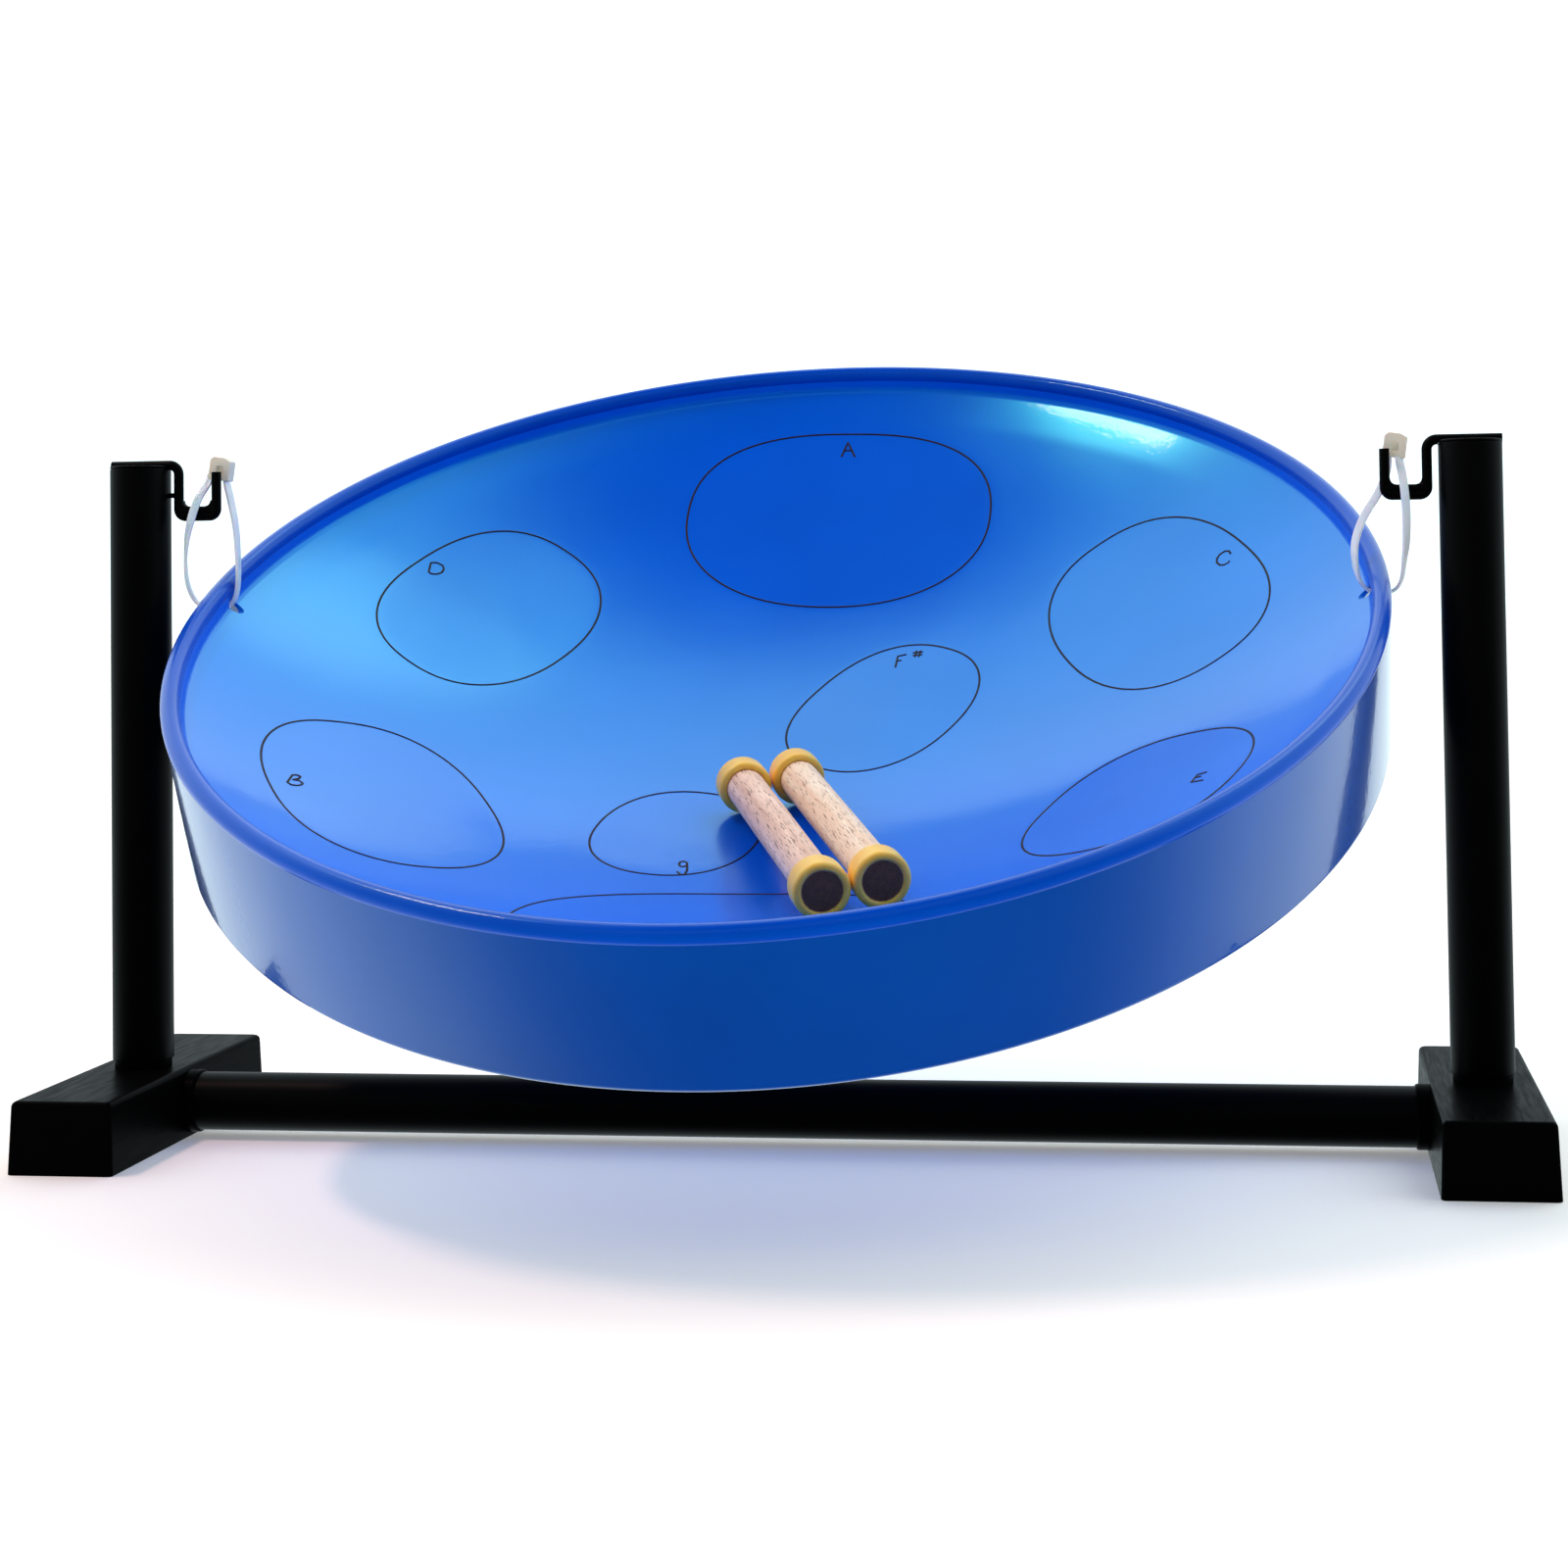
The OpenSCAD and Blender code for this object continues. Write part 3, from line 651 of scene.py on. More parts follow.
# %% Height of the playing surface
WALL_R = rim_r - 6.0   # mm, inside radius of the short upright wall
WALL_H = 8.8           # mm, from the top of the rim to the foot of the wall
BOWL_SAG = 60.0        # mm, from there to the deepest point
SHEET_T = 1.2          # mm, thickness of the sheet
BEND_R = 3.0           # mm, radius of the bend between wall and bowl
ball_r = (WALL_R ** 2 + BOWL_SAG ** 2) / (2 * BOWL_SAG)
ball_z = ball_r - BOWL_SAG - WALL_H
bend_z = ball_z - math.sqrt((ball_r - BEND_R) ** 2 - (WALL_R - BEND_R) ** 2)
bend_start = math.asin((WALL_R - BEND_R) / (ball_r - BEND_R))
surface_r = ball_r * math.sin(bend_start)
RIPPLE_TALL, RIPPLE_LONG = 0.05, 26   # mm, hammer ripples left in the sheet


def surface_z(x, y):
    """Height of the playing surface, in the pan's frame, in mm."""
    reach = math.hypot(x, y)
    ball = ball_z - math.sqrt(ball_r ** 2 - reach ** 2)
    settle = SETTLE * min(1.0, max(0.0, (surface_r - reach) / 12)) ** 0.8
    ripple = RIPPLE_TALL * noise.noise(Vector((x / RIPPLE_LONG, y / RIPPLE_LONG, 0.0)))
    return ball - settle + (dome_height(x, y) + ripple) * min(1.0, (surface_r - reach) / 4)


print("bowl is part of a ball of radius", round(ball_r, 1), "mm")

# %% Build the bowl sheet
BOWL_STEPS = 320
RING_GAP = 2.1   # mm between rings of points
ring_count = int(surface_r / RING_GAP)
reaches = [surface_r * (i + 1) / ring_count for i in range(ring_count)]
bowl_points, bowl_rings = [(0, 0, surface_z(0, 0))], []
for reach in reaches:
    bowl_rings.append(len(bowl_points))
    for k in range(BOWL_STEPS):
        a = 2 * math.pi * k / BOWL_STEPS
        x, y = reach * math.cos(a), reach * math.sin(a)
        bowl_points.append((x, y, surface_z(x * 0.99999, y * 0.99999)))
upper = bend((WALL_R - BEND_R, bend_z), BEND_R, math.degrees(bend_start) - 90, 0, 7)[1:]
upper += [(WALL_R, bend_z + (-3.0 - bend_z) * i / 3) for i in (1, 2, 3)]
for radius, z in upper:
    bowl_rings.append(len(bowl_points))
    for k in range(BOWL_STEPS):
        a = 2 * math.pi * k / BOWL_STEPS
        bowl_points.append((radius * math.cos(a), radius * math.sin(a), z))
bowl_faces = [(0, 1 + k, 1 + (k + 1) % BOWL_STEPS) for k in range(BOWL_STEPS)]
for low, high in zip(bowl_rings, bowl_rings[1:]):
    for k in range(BOWL_STEPS):
        n = (k + 1) % BOWL_STEPS
        bowl_faces.append((low + k, high + k, high + n, low + n))
bowl_mesh = bpy.data.meshes.new("bowl_sheet")
bowl_mesh.from_pydata(bowl_points, [], bowl_faces)
bowl_mesh.transform(pan_place @ Matrix.Scale(MM, 4))
print("bowl sheet has", len(bowl_faces), "faces")

# %% [markdown]
# ## Modifiers that are applied at once
# Solidify and Boolean are live modifiers. The pieces of this object are plain meshes, so a
# helper evaluates an object with its modifiers and hands back the mesh that results.

# %% Apply modifiers
def evaluated_mesh(holder):
    """The plain mesh that an object's modifiers give. The object itself is removed."""
    seen = bpy.context.evaluated_depsgraph_get()
    result = bpy.data.meshes.new_from_object(holder.evaluated_get(seen), depsgraph=seen)
    bpy.data.objects.remove(holder)
    return result


def apply_modifiers(mesh, *modifiers):
    """Runs (type, settings) modifiers over a mesh and returns the plain mesh they give."""
    holder = put("work_in_hand", mesh)
    for kind, settings in modifiers:
        modifier = holder.modifiers.new(kind.lower(), kind)
        for name, value in settings.items():
            setattr(modifier, name, value)
    return evaluated_mesh(holder)


def joined(*meshes):
    """One mesh that holds the faces of several."""
    work = bmesh.new()
    for mesh in meshes:
        work.from_mesh(mesh)
    work.to_mesh(meshes[0])
    work.free()
    return meshes[0]


print("modifiers are applied at once")

# %% Bore the tie holes and keep the bowl
HOLE_BACK, HOLE_DEEP, HOLE_R = 11.3, 9.2, 2.4   # mm, the tie holes in the pan's frame
HALF_BORER = 12                                 # mm
borer_outline = [(0, -HALF_BORER), (HOLE_R, -HALF_BORER), (HOLE_R, HALF_BORER), (0, HALF_BORER)]
along_x = Matrix.Rotation(math.pi / 2, 4, "Y")
borers = [turned(borer_outline, pan_place @ moved_to((x, HOLE_BACK, -HOLE_DEEP)) @ along_x,
                 32, False) for x in (-rim_r, rim_r)]
hole_borer = put("hole_borer", joined(*borers))
bore = ("BOOLEAN", {"object": hole_borer, "operation": "DIFFERENCE", "solver": "EXACT"})
thicken = ("SOLIDIFY", {"thickness": SHEET_T * MM, "offset": -1.0})
bowl_mesh = shade(apply_modifiers(bowl_mesh, thicken, bore))
keep("bowl_sheet", bowl_mesh, [enamel], "pan", ["pan_bowl"])
print("bowl with holes:", len(bowl_mesh.polygons), "faces")

# %% [markdown]
# ## The side band
# The skirt is a hoop of the same sheet with its lower edge rolled inwards over a wire, so the
# edge is safe to hold. It is one closed outline spun round the pan's axis, then bored for the
# ties.

# %% Build the side band
SKIRT_R = rim_r - 0.4   # mm, outside radius
SKIRT_H = 53.5          # mm, from the top of the rim to the lower edge
SKIRT_T = 1.0           # mm, thickness of the hoop
SKIRT_TOP = -3.2        # mm, where it meets the middle of the rim
HEM_R = 2.0             # mm, radius of the rolled edge
hem = (SKIRT_R - HEM_R, HEM_R - SKIRT_H)
skirt_outline = [(SKIRT_R, SKIRT_TOP), (SKIRT_R, hem[1])] + bend(hem, HEM_R, 0, -240, 20)[1:]
skirt_outline += [(SKIRT_R - SKIRT_T, hem[1] + 2.6), (SKIRT_R - SKIRT_T, SKIRT_TOP)]
skirt_mesh = shade(apply_modifiers(turned(skirt_outline, pan_place, 320), bore), 50)
# the side band wears the darker enamel copy, which is painted shade
keep("side_band", skirt_mesh, [shaded_side_enamel], "pan", ["pan_skirt"])
bpy.data.objects.remove(hole_borer)
print("side band:", len(skirt_mesh.polygons), "faces")

# %% [markdown]
# ## A bead that follows a path
# The rolled rim, the note outlines and the letters are all round beads laid along a path, so one
# Geometry Nodes tree makes them. It turns edges into curves, runs a small circle along them,
# realizes the result and gives it a finish. A bevelled curve object would look the same, but the
# tree has named sizes that can be changed in one place, and it ends in a plain mesh.

# %% Tree helpers
def start_tree(name, *inputs):
    """A Geometry Nodes tree with named inputs of given kinds and one output."""
    tree = bpy.data.node_groups.new(name, "GeometryNodeTree")
    for title, kind in inputs:
        tree.interface.new_socket(title, in_out="INPUT", socket_type="NodeSocket" + kind)
    tree.interface.new_socket("Shape", in_out="OUTPUT", socket_type="NodeSocketGeometry")
    return tree, add(tree, "NodeGroupInput")


def end_tree(tree, given, shape):
    """Realizes a tree's instances, gives them the finish and hands them out."""
    real = add(tree, "GeometryNodeRealizeInstances", {"Geometry": shape})
    coated = add(tree, "GeometryNodeSetMaterial", {"Geometry": real.outputs["Geometry"],
                 "Material": given.outputs["Finish"]})
    add(tree, "NodeGroupOutput", {"Shape": coated.outputs["Geometry"]})
    print(tree.name, "has", len(tree.nodes), "nodes")


# %% Bead tree
bead_tree, given = start_tree("bead_along_path", ("Path", "Geometry"), ("Bead radius", "Float"),
                              ("Bead sides", "Int"), ("Finish", "Material"))
path_curve = add(bead_tree, "GeometryNodeMeshToCurve", {"Mesh": given.outputs["Path"]})
bead_ring = add(bead_tree, "GeometryNodeCurvePrimitiveCircle", {
    "Radius": given.outputs["Bead radius"], "Resolution": given.outputs["Bead sides"]})
swept = add(bead_tree, "GeometryNodeCurveToMesh", {"Curve": path_curve.outputs["Curve"],
            "Profile Curve": bead_ring.outputs["Curve"], "Fill Caps": True})
smoothed = add(bead_tree, "GeometryNodeSetShadeSmooth", {"Geometry": swept.outputs["Mesh"]})
end_tree(bead_tree, given, smoothed.outputs["Geometry"])


def grow(tree, mesh, **inputs):
    """Runs a Geometry Nodes tree over a mesh and returns the plain mesh it makes."""
    holder = put("work_in_hand", mesh)
    modifier = holder.modifiers.new("nodes", "NODES")
    modifier.node_group = tree
    for item in tree.interface.items_tree:
        key = item.name.replace(" ", "_").lower()
        if item.in_out == "INPUT" and key in inputs:
            modifier[item.identifier] = inputs[key]
    return evaluated_mesh(holder)


def paths_mesh(paths, closed, matrix):
    """A mesh of edges only: one chain for each path of points in mm."""
    points, edges = [], []
    for path in paths:
        first = len(points)
        points += path
        edges += [(first + i, first + i + 1) for i in range(len(path) - 1)]
        if closed:
            edges.append((len(points) - 1, first))
    mesh = bpy.data.meshes.new("paths")
    mesh.from_pydata(points, edges, [])
    mesh.transform(matrix @ Matrix.Scale(MM, 4))
    return mesh


print("paths can be grown into beads")

# %% [markdown]
# ## The rolled rim
# The edge of the pan is rolled over into a bead, which stiffens it and catches a bright line of
# light. The path is a circle through the middle of the bead.

# %% Roll the rim
RIM_STEPS = 360
rim_path = []
for k in range(RIM_STEPS):
    a = 2 * math.pi * k / RIM_STEPS
    rim_path.append((ring_r * math.cos(a), ring_r * math.sin(a), -RIM_ROLL / 2))
rim_mesh = grow(bead_tree, paths_mesh([rim_path], True, pan_place),
                bead_radius=RIM_ROLL / 2 * MM, bead_sides=40, finish=shaded_rim_enamel)
# the rim bead wears the darker enamel copy, which is painted shade
keep("rim_bead", rim_mesh, [shaded_rim_enamel], "pan", ["rim_ring"])
print("rim bead:", len(rim_mesh.polygons), "faces")

# %% [markdown]
# ## Drawing the notes
# A marker line is a film less than a tenth of a millimetre thick, but a film that thin would
# flicker through the enamel, so the line is a fine bead sunk until only its back shows. It
# follows the same surface function as the bowl, domes included. The names of the notes are
# written by hand near the outer edge, as pen strokes measured from the middle of each letter.

# %% Draw the outlines
LINE_R = 0.46       # mm, radius of the sunk bead
LINE_SINK = 0.20    # mm that its middle lies below the enamel
LINE_SIDES = 8


def outline_path(note, steps=220):
    """Points of a note's outline on the playing surface."""
    cx, cy, half_l, half_w, angle, square = note[:6]
    c, s = math.cos(math.radians(angle)), math.sin(math.radians(angle))
    path = []
    for k in range(steps):
        a = 2 * math.pi * k / steps
        flatness = abs(math.cos(a) / half_l) ** square + abs(math.sin(a) / half_w) ** square
        reach = flatness ** (-1 / square)
        u, v = reach * math.cos(a), reach * math.sin(a)
        path.append((cx + u * c - v * s, cy + u * s + v * c))
    return [(x, y, surface_z(x, y) - LINE_SINK) for x, y in path]


outlines = [outline_path(note) for note in NOTES.values()]
outline_mesh = grow(bead_tree, paths_mesh(outlines, True, pan_place), bead_radius=LINE_R * MM,
                    bead_sides=LINE_SIDES, finish=ink)
keep("note_outlines", outline_mesh, [ink], "pan")
print("outlines:", len(outline_mesh.polygons), "faces")

# %% Write the letters
# each letter: its middle in the pan's frame, then its pen strokes, in mm
LETTERS = {
    "A": ((-0.8, 172.4), [
        [(-2.7, -3.4), (-0.7, 3.5), (2.7, -3.5)], [(-1.8, -0.4), (1.4, -0.4)]]),
    "D": ((-144.5, 78.5), [
        [(-2.5, 2.3), (-0.5, 3.4), (1.6, 2.9), (2.5, 1.3), (2.3, -0.8), (0.9, -2.6), (-1.0, -3.4),
         (-2.1, -2.8), (-2.5, 2.3)]]),
    "B": ((-146.8, -77.1), [
        [(-2.2, 2.8), (-1.6, -3.3), (-0.1, -4.2), (1.3, -3.5), (2.3, -1.7), (2.1, -0.2),
         (0.7, 0.7), (-1.0, -0.1), (0.1, 2.0), (0.0, 3.9), (-1.1, 4.2), (-2.3, 3.0)]]),
    "C": ((147.8, 75.8), [
        [(2.5, 1.1), (1.9, 3.0), (0.4, 3.8), (-1.4, 3.1), (-2.5, 1.2), (-2.5, -0.9),
         (-1.3, -3.1), (0.2, -3.8), (1.4, -3.5), (2.1, -2.8)]]),
    "E": ((141.2, -71.4), [
        [(2.4, 3.0), (-0.6, 3.4), (-2.4, -1.5), (1.3, -3.4)], [(-1.4, 1.6), (0.6, 0.8)]]),
    "F": ((33.0, 65.5), [
        [(-1.4, 2.9), (-4.5, 2.2), (-4.7, -4.5)], [(-4.6, -0.7), (-2.8, -0.4)],
        [(2.0, 0.9), (2.3, 4.5)], [(3.4, 0.7), (3.7, 4.3)], [(1.0, 3.5), (4.7, 3.5)],
        [(1.1, 1.9), (4.6, 1.9)]]),
    "g": ((-23.5, -77.9), [
        [(0.5, 4.6), (-0.9, 5.6), (-1.8, 4.7), (-1.8, 2.8), (-0.9, 1.2), (0.3, 1.1), (0.8, 3.0),
         (0.5, 4.6), (1.8, -1.5), (1.8, -4.9), (0.6, -5.6), (-1.0, -3.3)]]),
    "G": ((0.0, -172.0), [
        [(2.4, 2.2), (0.6, 3.6), (-1.8, 2.6), (-2.6, -0.4), (-1.6, -3.0), (0.6, -3.6),
         (2.4, -2.4), (2.6, -0.2), (0.6, -0.2)]]),
}
STROKE_STEPS = 5


def pen_stroke(middle, corners):
    """A stroke's points, close together, on the playing surface."""
    path = []
    for (x0, y0), (x1, y1) in zip(corners, corners[1:]):
        path += [(middle[0] + x0 + (x1 - x0) * i / STROKE_STEPS,
                  middle[1] + y0 + (y1 - y0) * i / STROKE_STEPS) for i in range(STROKE_STEPS)]
    path.append((middle[0] + corners[-1][0], middle[1] + corners[-1][1]))
    return [(x, y, surface_z(x, y) - LINE_SINK) for x, y in path]


strokes = [pen_stroke(middle, corners) for middle, lines in LETTERS.values() for corners in lines]
letter_mesh = grow(bead_tree, paths_mesh(strokes, False, pan_place), bead_radius=LINE_R * MM,
                   bead_sides=LINE_SIDES, finish=ink)
keep("note_letters", letter_mesh, [ink], "pan")
print("letters:", len(strokes), "strokes")

# %% [markdown]
# ## The stand's tubes
# The posts and the crossbar are cut from round steel tube. Their ends are broken with a file, so
# a small round catches the light where a bare cylinder would have a knife edge. Each is spun
# from its outline, and its place and sizes come from its CAD node's box.

# %% Turn the posts and caps
SIDES = (("left", -1), ("right", 1))
def upright(node, edge=0.35):
    """A tube's outer skin standing on its node's box, with broken edges."""
    low, high, middle = node_box(node)
    radius, tall = (high - low)[0] / 2, (high - low)[2]
    outline = [(0, 0)] + bend((radius - edge, edge), edge, -90, 0, 3) \
        + bend((radius - edge, tall - edge), edge, 0, 90, 3) + [(0, tall)]
    return turned(outline, moved_to((middle[0], middle[1], low[2])), closed=False)


for side, sign in SIDES:
    keep(f"{side}_post_tube", upright(f"{side}_post"), [powder_coat], "stand",
         [f"{side}_post"])
    post_high = node_box(f"{side}_post")[1]
    cap_high, cap_middle = node_box(f"{side}_post_cap")[1:]
    cap_r, cap_t = post_high[0] - cap_middle[0], cap_high[2] - post_high[2]
    cap_outline = [(0, 0.02), (cap_r - 0.3, 0.02), (cap_r - 0.3, 0.12)] \
        + bend((cap_r - 0.25, 0.37), 0.25, -90, 0, 3) \
        + bend((cap_r - 0.4, cap_t - 0.4), 0.4, 0, 90, 4) + [(0, cap_t)]
    cap_place = moved_to((cap_middle[0], cap_middle[1], post_high[2]))
    keep(f"{side}_cap_disc", turned(cap_outline, cap_place, closed=False), [powder_coat],
         "stand", [f"{side}_post_cap"])
print("post radius", round(cap_r, 2), "mm, cap", round(cap_t, 2), "mm")

# %% Crossbar and its rings
bar_low, bar_high, bar_middle = node_box("crossbar")
bar_r, bar_half = (bar_high - bar_low)[2] / 2, (bar_high - bar_low)[0] / 2
bar_outline = [(0, -bar_half), (bar_r, -bar_half), (bar_r, bar_half), (0, bar_half)]
keep("crossbar_tube", turned(bar_outline, moved_to(bar_middle) @ along_x, closed=False),
     [powder_coat], "stand", ["crossbar"])
RING_ROUND = 0.9   # mm, the round that faces the middle of the stand
RING_OVERLAP = 0.3 # mm that the ring's bore lies under the tube's skin
for side, sign in SIDES:
    low, high, middle = node_box(f"{side}_bar_ring")
    radius, half_long = (high - low)[2] / 2, (high - low)[0] / 2
    bore_r = bar_r - RING_OVERLAP
    outline = [(bore_r, -half_long), (radius - 0.2, -half_long), (radius, -half_long + 0.2)] \
        + bend((radius - RING_ROUND, half_long - RING_ROUND), RING_ROUND, 0, 90, 6) \
        + [(bore_r, half_long)]
    ring_place = moved_to(middle) @ Matrix.Rotation(-sign * math.pi / 2, 4, "Y")
    keep(f"{side}_bar_collar", turned(outline, ring_place), [moulded_abs], "stand",
         [f"{side}_bar_ring"])
print("crossbar", round(2 * bar_half, 1), "mm long")

# %% [markdown]
# ## The feet
# Each foot is a moulded block. Mould makers lean the sides a degree or two so that the part
# drops out, and round every upper edge. A Bevel on a box would round the bottom too, where the
# real one is sharp, so the block is stacked from rounded rectangles, closing at the top. The
# post stands on a slightly narrower neck, which shows as a dark groove. Underneath, a Boolean
# sinks the hole for the screw.

# %% Mould the feet
FOOT_TALL = 23.8      # mm
FOOT_LEAN = 0.9       # mm that each side leans in over that height
TOP_ROUND = 1.8       # mm, round of the upper edges
TOP_FLAT = 1.2        # mm from that round to the flat top face
CORNER_ROUND = 1.5    # mm, round of the upright edges
SINK_R, SINK_TALL = 6.5, 8           # mm, the hole for the screw's head
NECK_STEP, NECK_TALL = 0.7, 2.85     # mm, the neck under the post


def rounded_loop(half_x, half_y, corner, z, steps=5):
    """A rectangle with rounded corners, as points at one height."""
    loop = []
    for sx, sy, start in ((1, 1, 0), (-1, 1, 90), (-1, -1, 180), (1, -1, 270)):
        loop += [(x, y, z) for x, y in bend((sx * (half_x - corner), sy * (half_y - corner)),
                                            corner,
                                            start, start + 90, steps)]
    return loop


def foot_mesh(node):
    """A foot block with its neck and screw hole, placed on its node's box."""
    low, high, middle = node_box(node)
    half_x, half_y = (high - low)[0] / 2, (high - low)[1] / 2
    loops = [(0.25, 0.0), (0.0, 0.25)]
    lean = FOOT_LEAN / FOOT_TALL
    loops += [(lean * z, z) for z in (6.0, 14.0, FOOT_TALL - TOP_ROUND - 1.0)]
    for i in range(8):
        a = math.radians(90 * i / 7)
        loops.append((FOOT_LEAN * 0.95 + TOP_ROUND * (1 - math.cos(a)),
                      FOOT_TALL - TOP_ROUND * (1 - math.sin(a))))
    loops.append((FOOT_LEAN + TOP_ROUND + TOP_FLAT, FOOT_TALL))
    points, faces = [], []
    for inset, z in loops:
        points += rounded_loop(half_x - inset, half_y - inset, CORNER_ROUND, z)
    count = len(points) // len(loops)
    for row in range(len(loops) - 1):
        for k in range(count):
            here, above = row * count, (row + 1) * count
            n = (k + 1) % count
            faces.append((here + k, here + n, above + n, above + k))
    faces += [tuple(range(count))[::-1], tuple(range(len(points) - count, len(points)))]
    mesh = bpy.data.meshes.new("foot")
    mesh.from_pydata(points, [], faces)
    stand_here = moved_to((middle[0], middle[1], 0))
    mesh.transform(stand_here @ Matrix.Scale(MM, 4))
    close_up(mesh)
    sink_outline = [(0, -1), (SINK_R, -1), (SINK_R, SINK_TALL), (0, SINK_TALL)]
    sinker = put("sinker", turned(sink_outline, stand_here, 48, False))
    mesh = apply_modifiers(mesh, ("BOOLEAN", {"object": sinker, "solver": "EXACT"}))
    bpy.data.objects.remove(sinker)
    neck_r, neck_foot, neck_top = cap_r - NECK_STEP, FOOT_TALL - 1, FOOT_TALL + NECK_TALL
    neck_outline = [(0, neck_foot), (neck_r, neck_foot), (neck_r, neck_top), (0, neck_top)]
    return shade(joined(mesh, turned(neck_outline, stand_here, closed=False)))


def flatten_shading(mesh):
    """Weighted normals: flat faces stay flat while the narrow rounds between them shade smooth."""
    return apply_modifiers(mesh, ("WEIGHTED_NORMAL", {"keep_sharp": True, "weight": 80}))


for side, sign in SIDES:
    keep(f"{side}_foot_block", flatten_shading(foot_mesh(f"{side}_foot")), [moulded_abs],
         "stand", [f"{side}_foot"])
print("feet moulded", FOOT_TALL, "mm tall")

# %% [markdown]
# ## Hooks and their weld
# The hooks are bent from round rod, and the floor of each U is pressed down into a flat web.
# Their CAD shape is already exact, so a copy of the CAD mesh is merged and shaded smooth. The
# CAD node itself is left alone: its triangles stay loose, as the physics model needs them.

# %% Copy the exact CAD shapes
def smooth_copy(node, sharp=40, *modifiers):
    """A merged copy of a CAD node's mesh with smooth rounds and crisp edges."""
    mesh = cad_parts[node].data.copy()
    work = bmesh.new()
    work.from_mesh(mesh)
    bmesh.ops.remove_doubles(work, verts=work.verts, dist=2e-6)
    work.to_mesh(mesh)
    work.free()
    if modifiers:
        mesh = apply_modifiers(mesh, *modifiers)
    return flatten_shading(shade(mesh, sharp))


for node, name in (("left_hook", "left_hook_rod"), ("right_hook", "right_hook_rod"),
                   ("left_hook_weld", "left_hook_bead")):
    keep(name, smooth_copy(node), [powder_coat], "stand", [node])
print("hook points:", len(node_points("left_hook")))

# %% [markdown]
# ## Locking heads of the ties
# A tie's head is a small moulded box with one slanted corner and a window where the pawl sits.
# Its CAD solid gives the outline. A Bevel rounds its edges and a Boolean opens the window.

# %% Finish the heads
WINDOW_R, WINDOW_DEEP = 1.5, 1.2    # mm, the pawl's window in the front face
WINDOW_TURN = 8                     # degrees, as the head leans
WINDOW_DROP = 0.4                   # mm below the middle of the head
HEAD_ROUND = 0.42                   # mm
window_outline = [(0, -WINDOW_DEEP), (WINDOW_R, -WINDOW_DEEP), (WINDOW_R, WINDOW_DEEP),
                  (0, WINDOW_DEEP)]
window_way = (Matrix.Rotation(math.radians(WINDOW_TURN), 4, "Y")
              @ Matrix.Rotation(math.pi / 2, 4, "X") @ Matrix.Rotation(math.pi / 4, 4, "Z")
              @ Matrix.Scale(1.25, 4, (1, 1, 0)))
round_edges = ("BEVEL", {"width": HEAD_ROUND * MM, "segments": 3, "limit_method": "ANGLE",
                         "angle_limit": math.radians(25)})
for side, sign in SIDES:
    node = f"{side}_tie_head"
    low, high, middle = node_box(node)
    window_place = moved_to((middle[0], low[1], middle[2] - WINDOW_DROP))
    cutter = put("window_cutter", turned(window_outline, window_place @ window_way, 4, False))
    head = smooth_copy(node, 30, ("BOOLEAN", {"object": cutter, "solver": "EXACT"}), round_edges)
    bpy.data.objects.remove(cutter)
    keep(f"{side}_lock_head", head, [nylon_head], f"{side}_tie", [node])
print("heads rounded by", HEAD_ROUND, "mm")

# %% [markdown]
# ## The straps
# Each tie is one long nylon strap that passes through the pan's hole and over the hook, and
# closes in its head. The strap keeps its width across the loop in some places and twists in
# others, which a bevelled curve can't hold exactly, so the cross-section is placed point by
# point along a smooth path. The path points repeat the CAD's, as distance from the centre plane,
# y from the posts, height, and turn of the strap.

# %% Sweep the straps
STRAP_PATHS = {
    "left": [(206.4, 5.6, 231, 70), (206.6, 3.4, 227.5, 70), (208, -0.9, 222.7, 88),
             (209.6, -3.2, 216.5, 90), (211.8, -2.6, 208.5, 50), (213, -1.2, 200, 20),
             (212.6, -0.3, 192, 5), (209.8, 0, 186, 0), (205.5, 0, 184, 0), (200, 0, 184, 0),
             (197, 0, 184.8, 0), (195, 0, 188, 0), (194.3, 0.2, 194, 0), (194.8, 1, 203, 10),
             (196, 2.3, 212, 20), (198.2, 3.7, 221, 30), (200.2, 5, 227.5, 30),
             (200.6, 5.6, 231, 30)],
    "right": [(207.4, 5.6, 231, 70), (207.2, 3.4, 227.5, 70), (207.8, -0.8, 222.7, 90),
              (208.4, -3.2, 216.5, 90), (208.8, -2.9, 209, 70), (208.7, -1.4, 201, 50),
              (208, -0.4, 194.5, 25), (207, 0, 188, 10), (204.4, 0, 184.4, 0), (200, 0, 184, 0),
              (196.4, 0, 184.4, 0), (193.4, 0, 187.6, 10), (192, 0.2, 193.5, 30),
              (192.2, 0.9, 201, 50), (195.2, 2.2, 209, 60), (200, 3.3, 216.7, 60),
              (203, 4.4, 224, 50), (203.6, 5.6, 231, 50)],
}
STRAP_W, STRAP_T, STRAP_ROUND = 2.8, 1.1, 0.28   # mm
PATH_STEPS = 8


def smooth_path(corners):
    """Catmull-Rom points through the path's corners."""
    rows, last = np.array(corners, float), len(corners) - 1
    points = []
    for i in range(last):
        p0, p1, p2, p3 = rows[max(0, i - 1)], rows[i], rows[i + 1], rows[min(last, i + 2)]
        for k in range(PATH_STEPS + (i == last - 1)):
            t = k / PATH_STEPS
            points.append(0.5 * (2 * p1 + (p2 - p0) * t + (2 * p0 - 5 * p1 + 4 * p2 - p3) * t * t
                                 + (3 * p1 - p0 - 3 * p2 + p3) * t ** 3))
    return np.array(points)


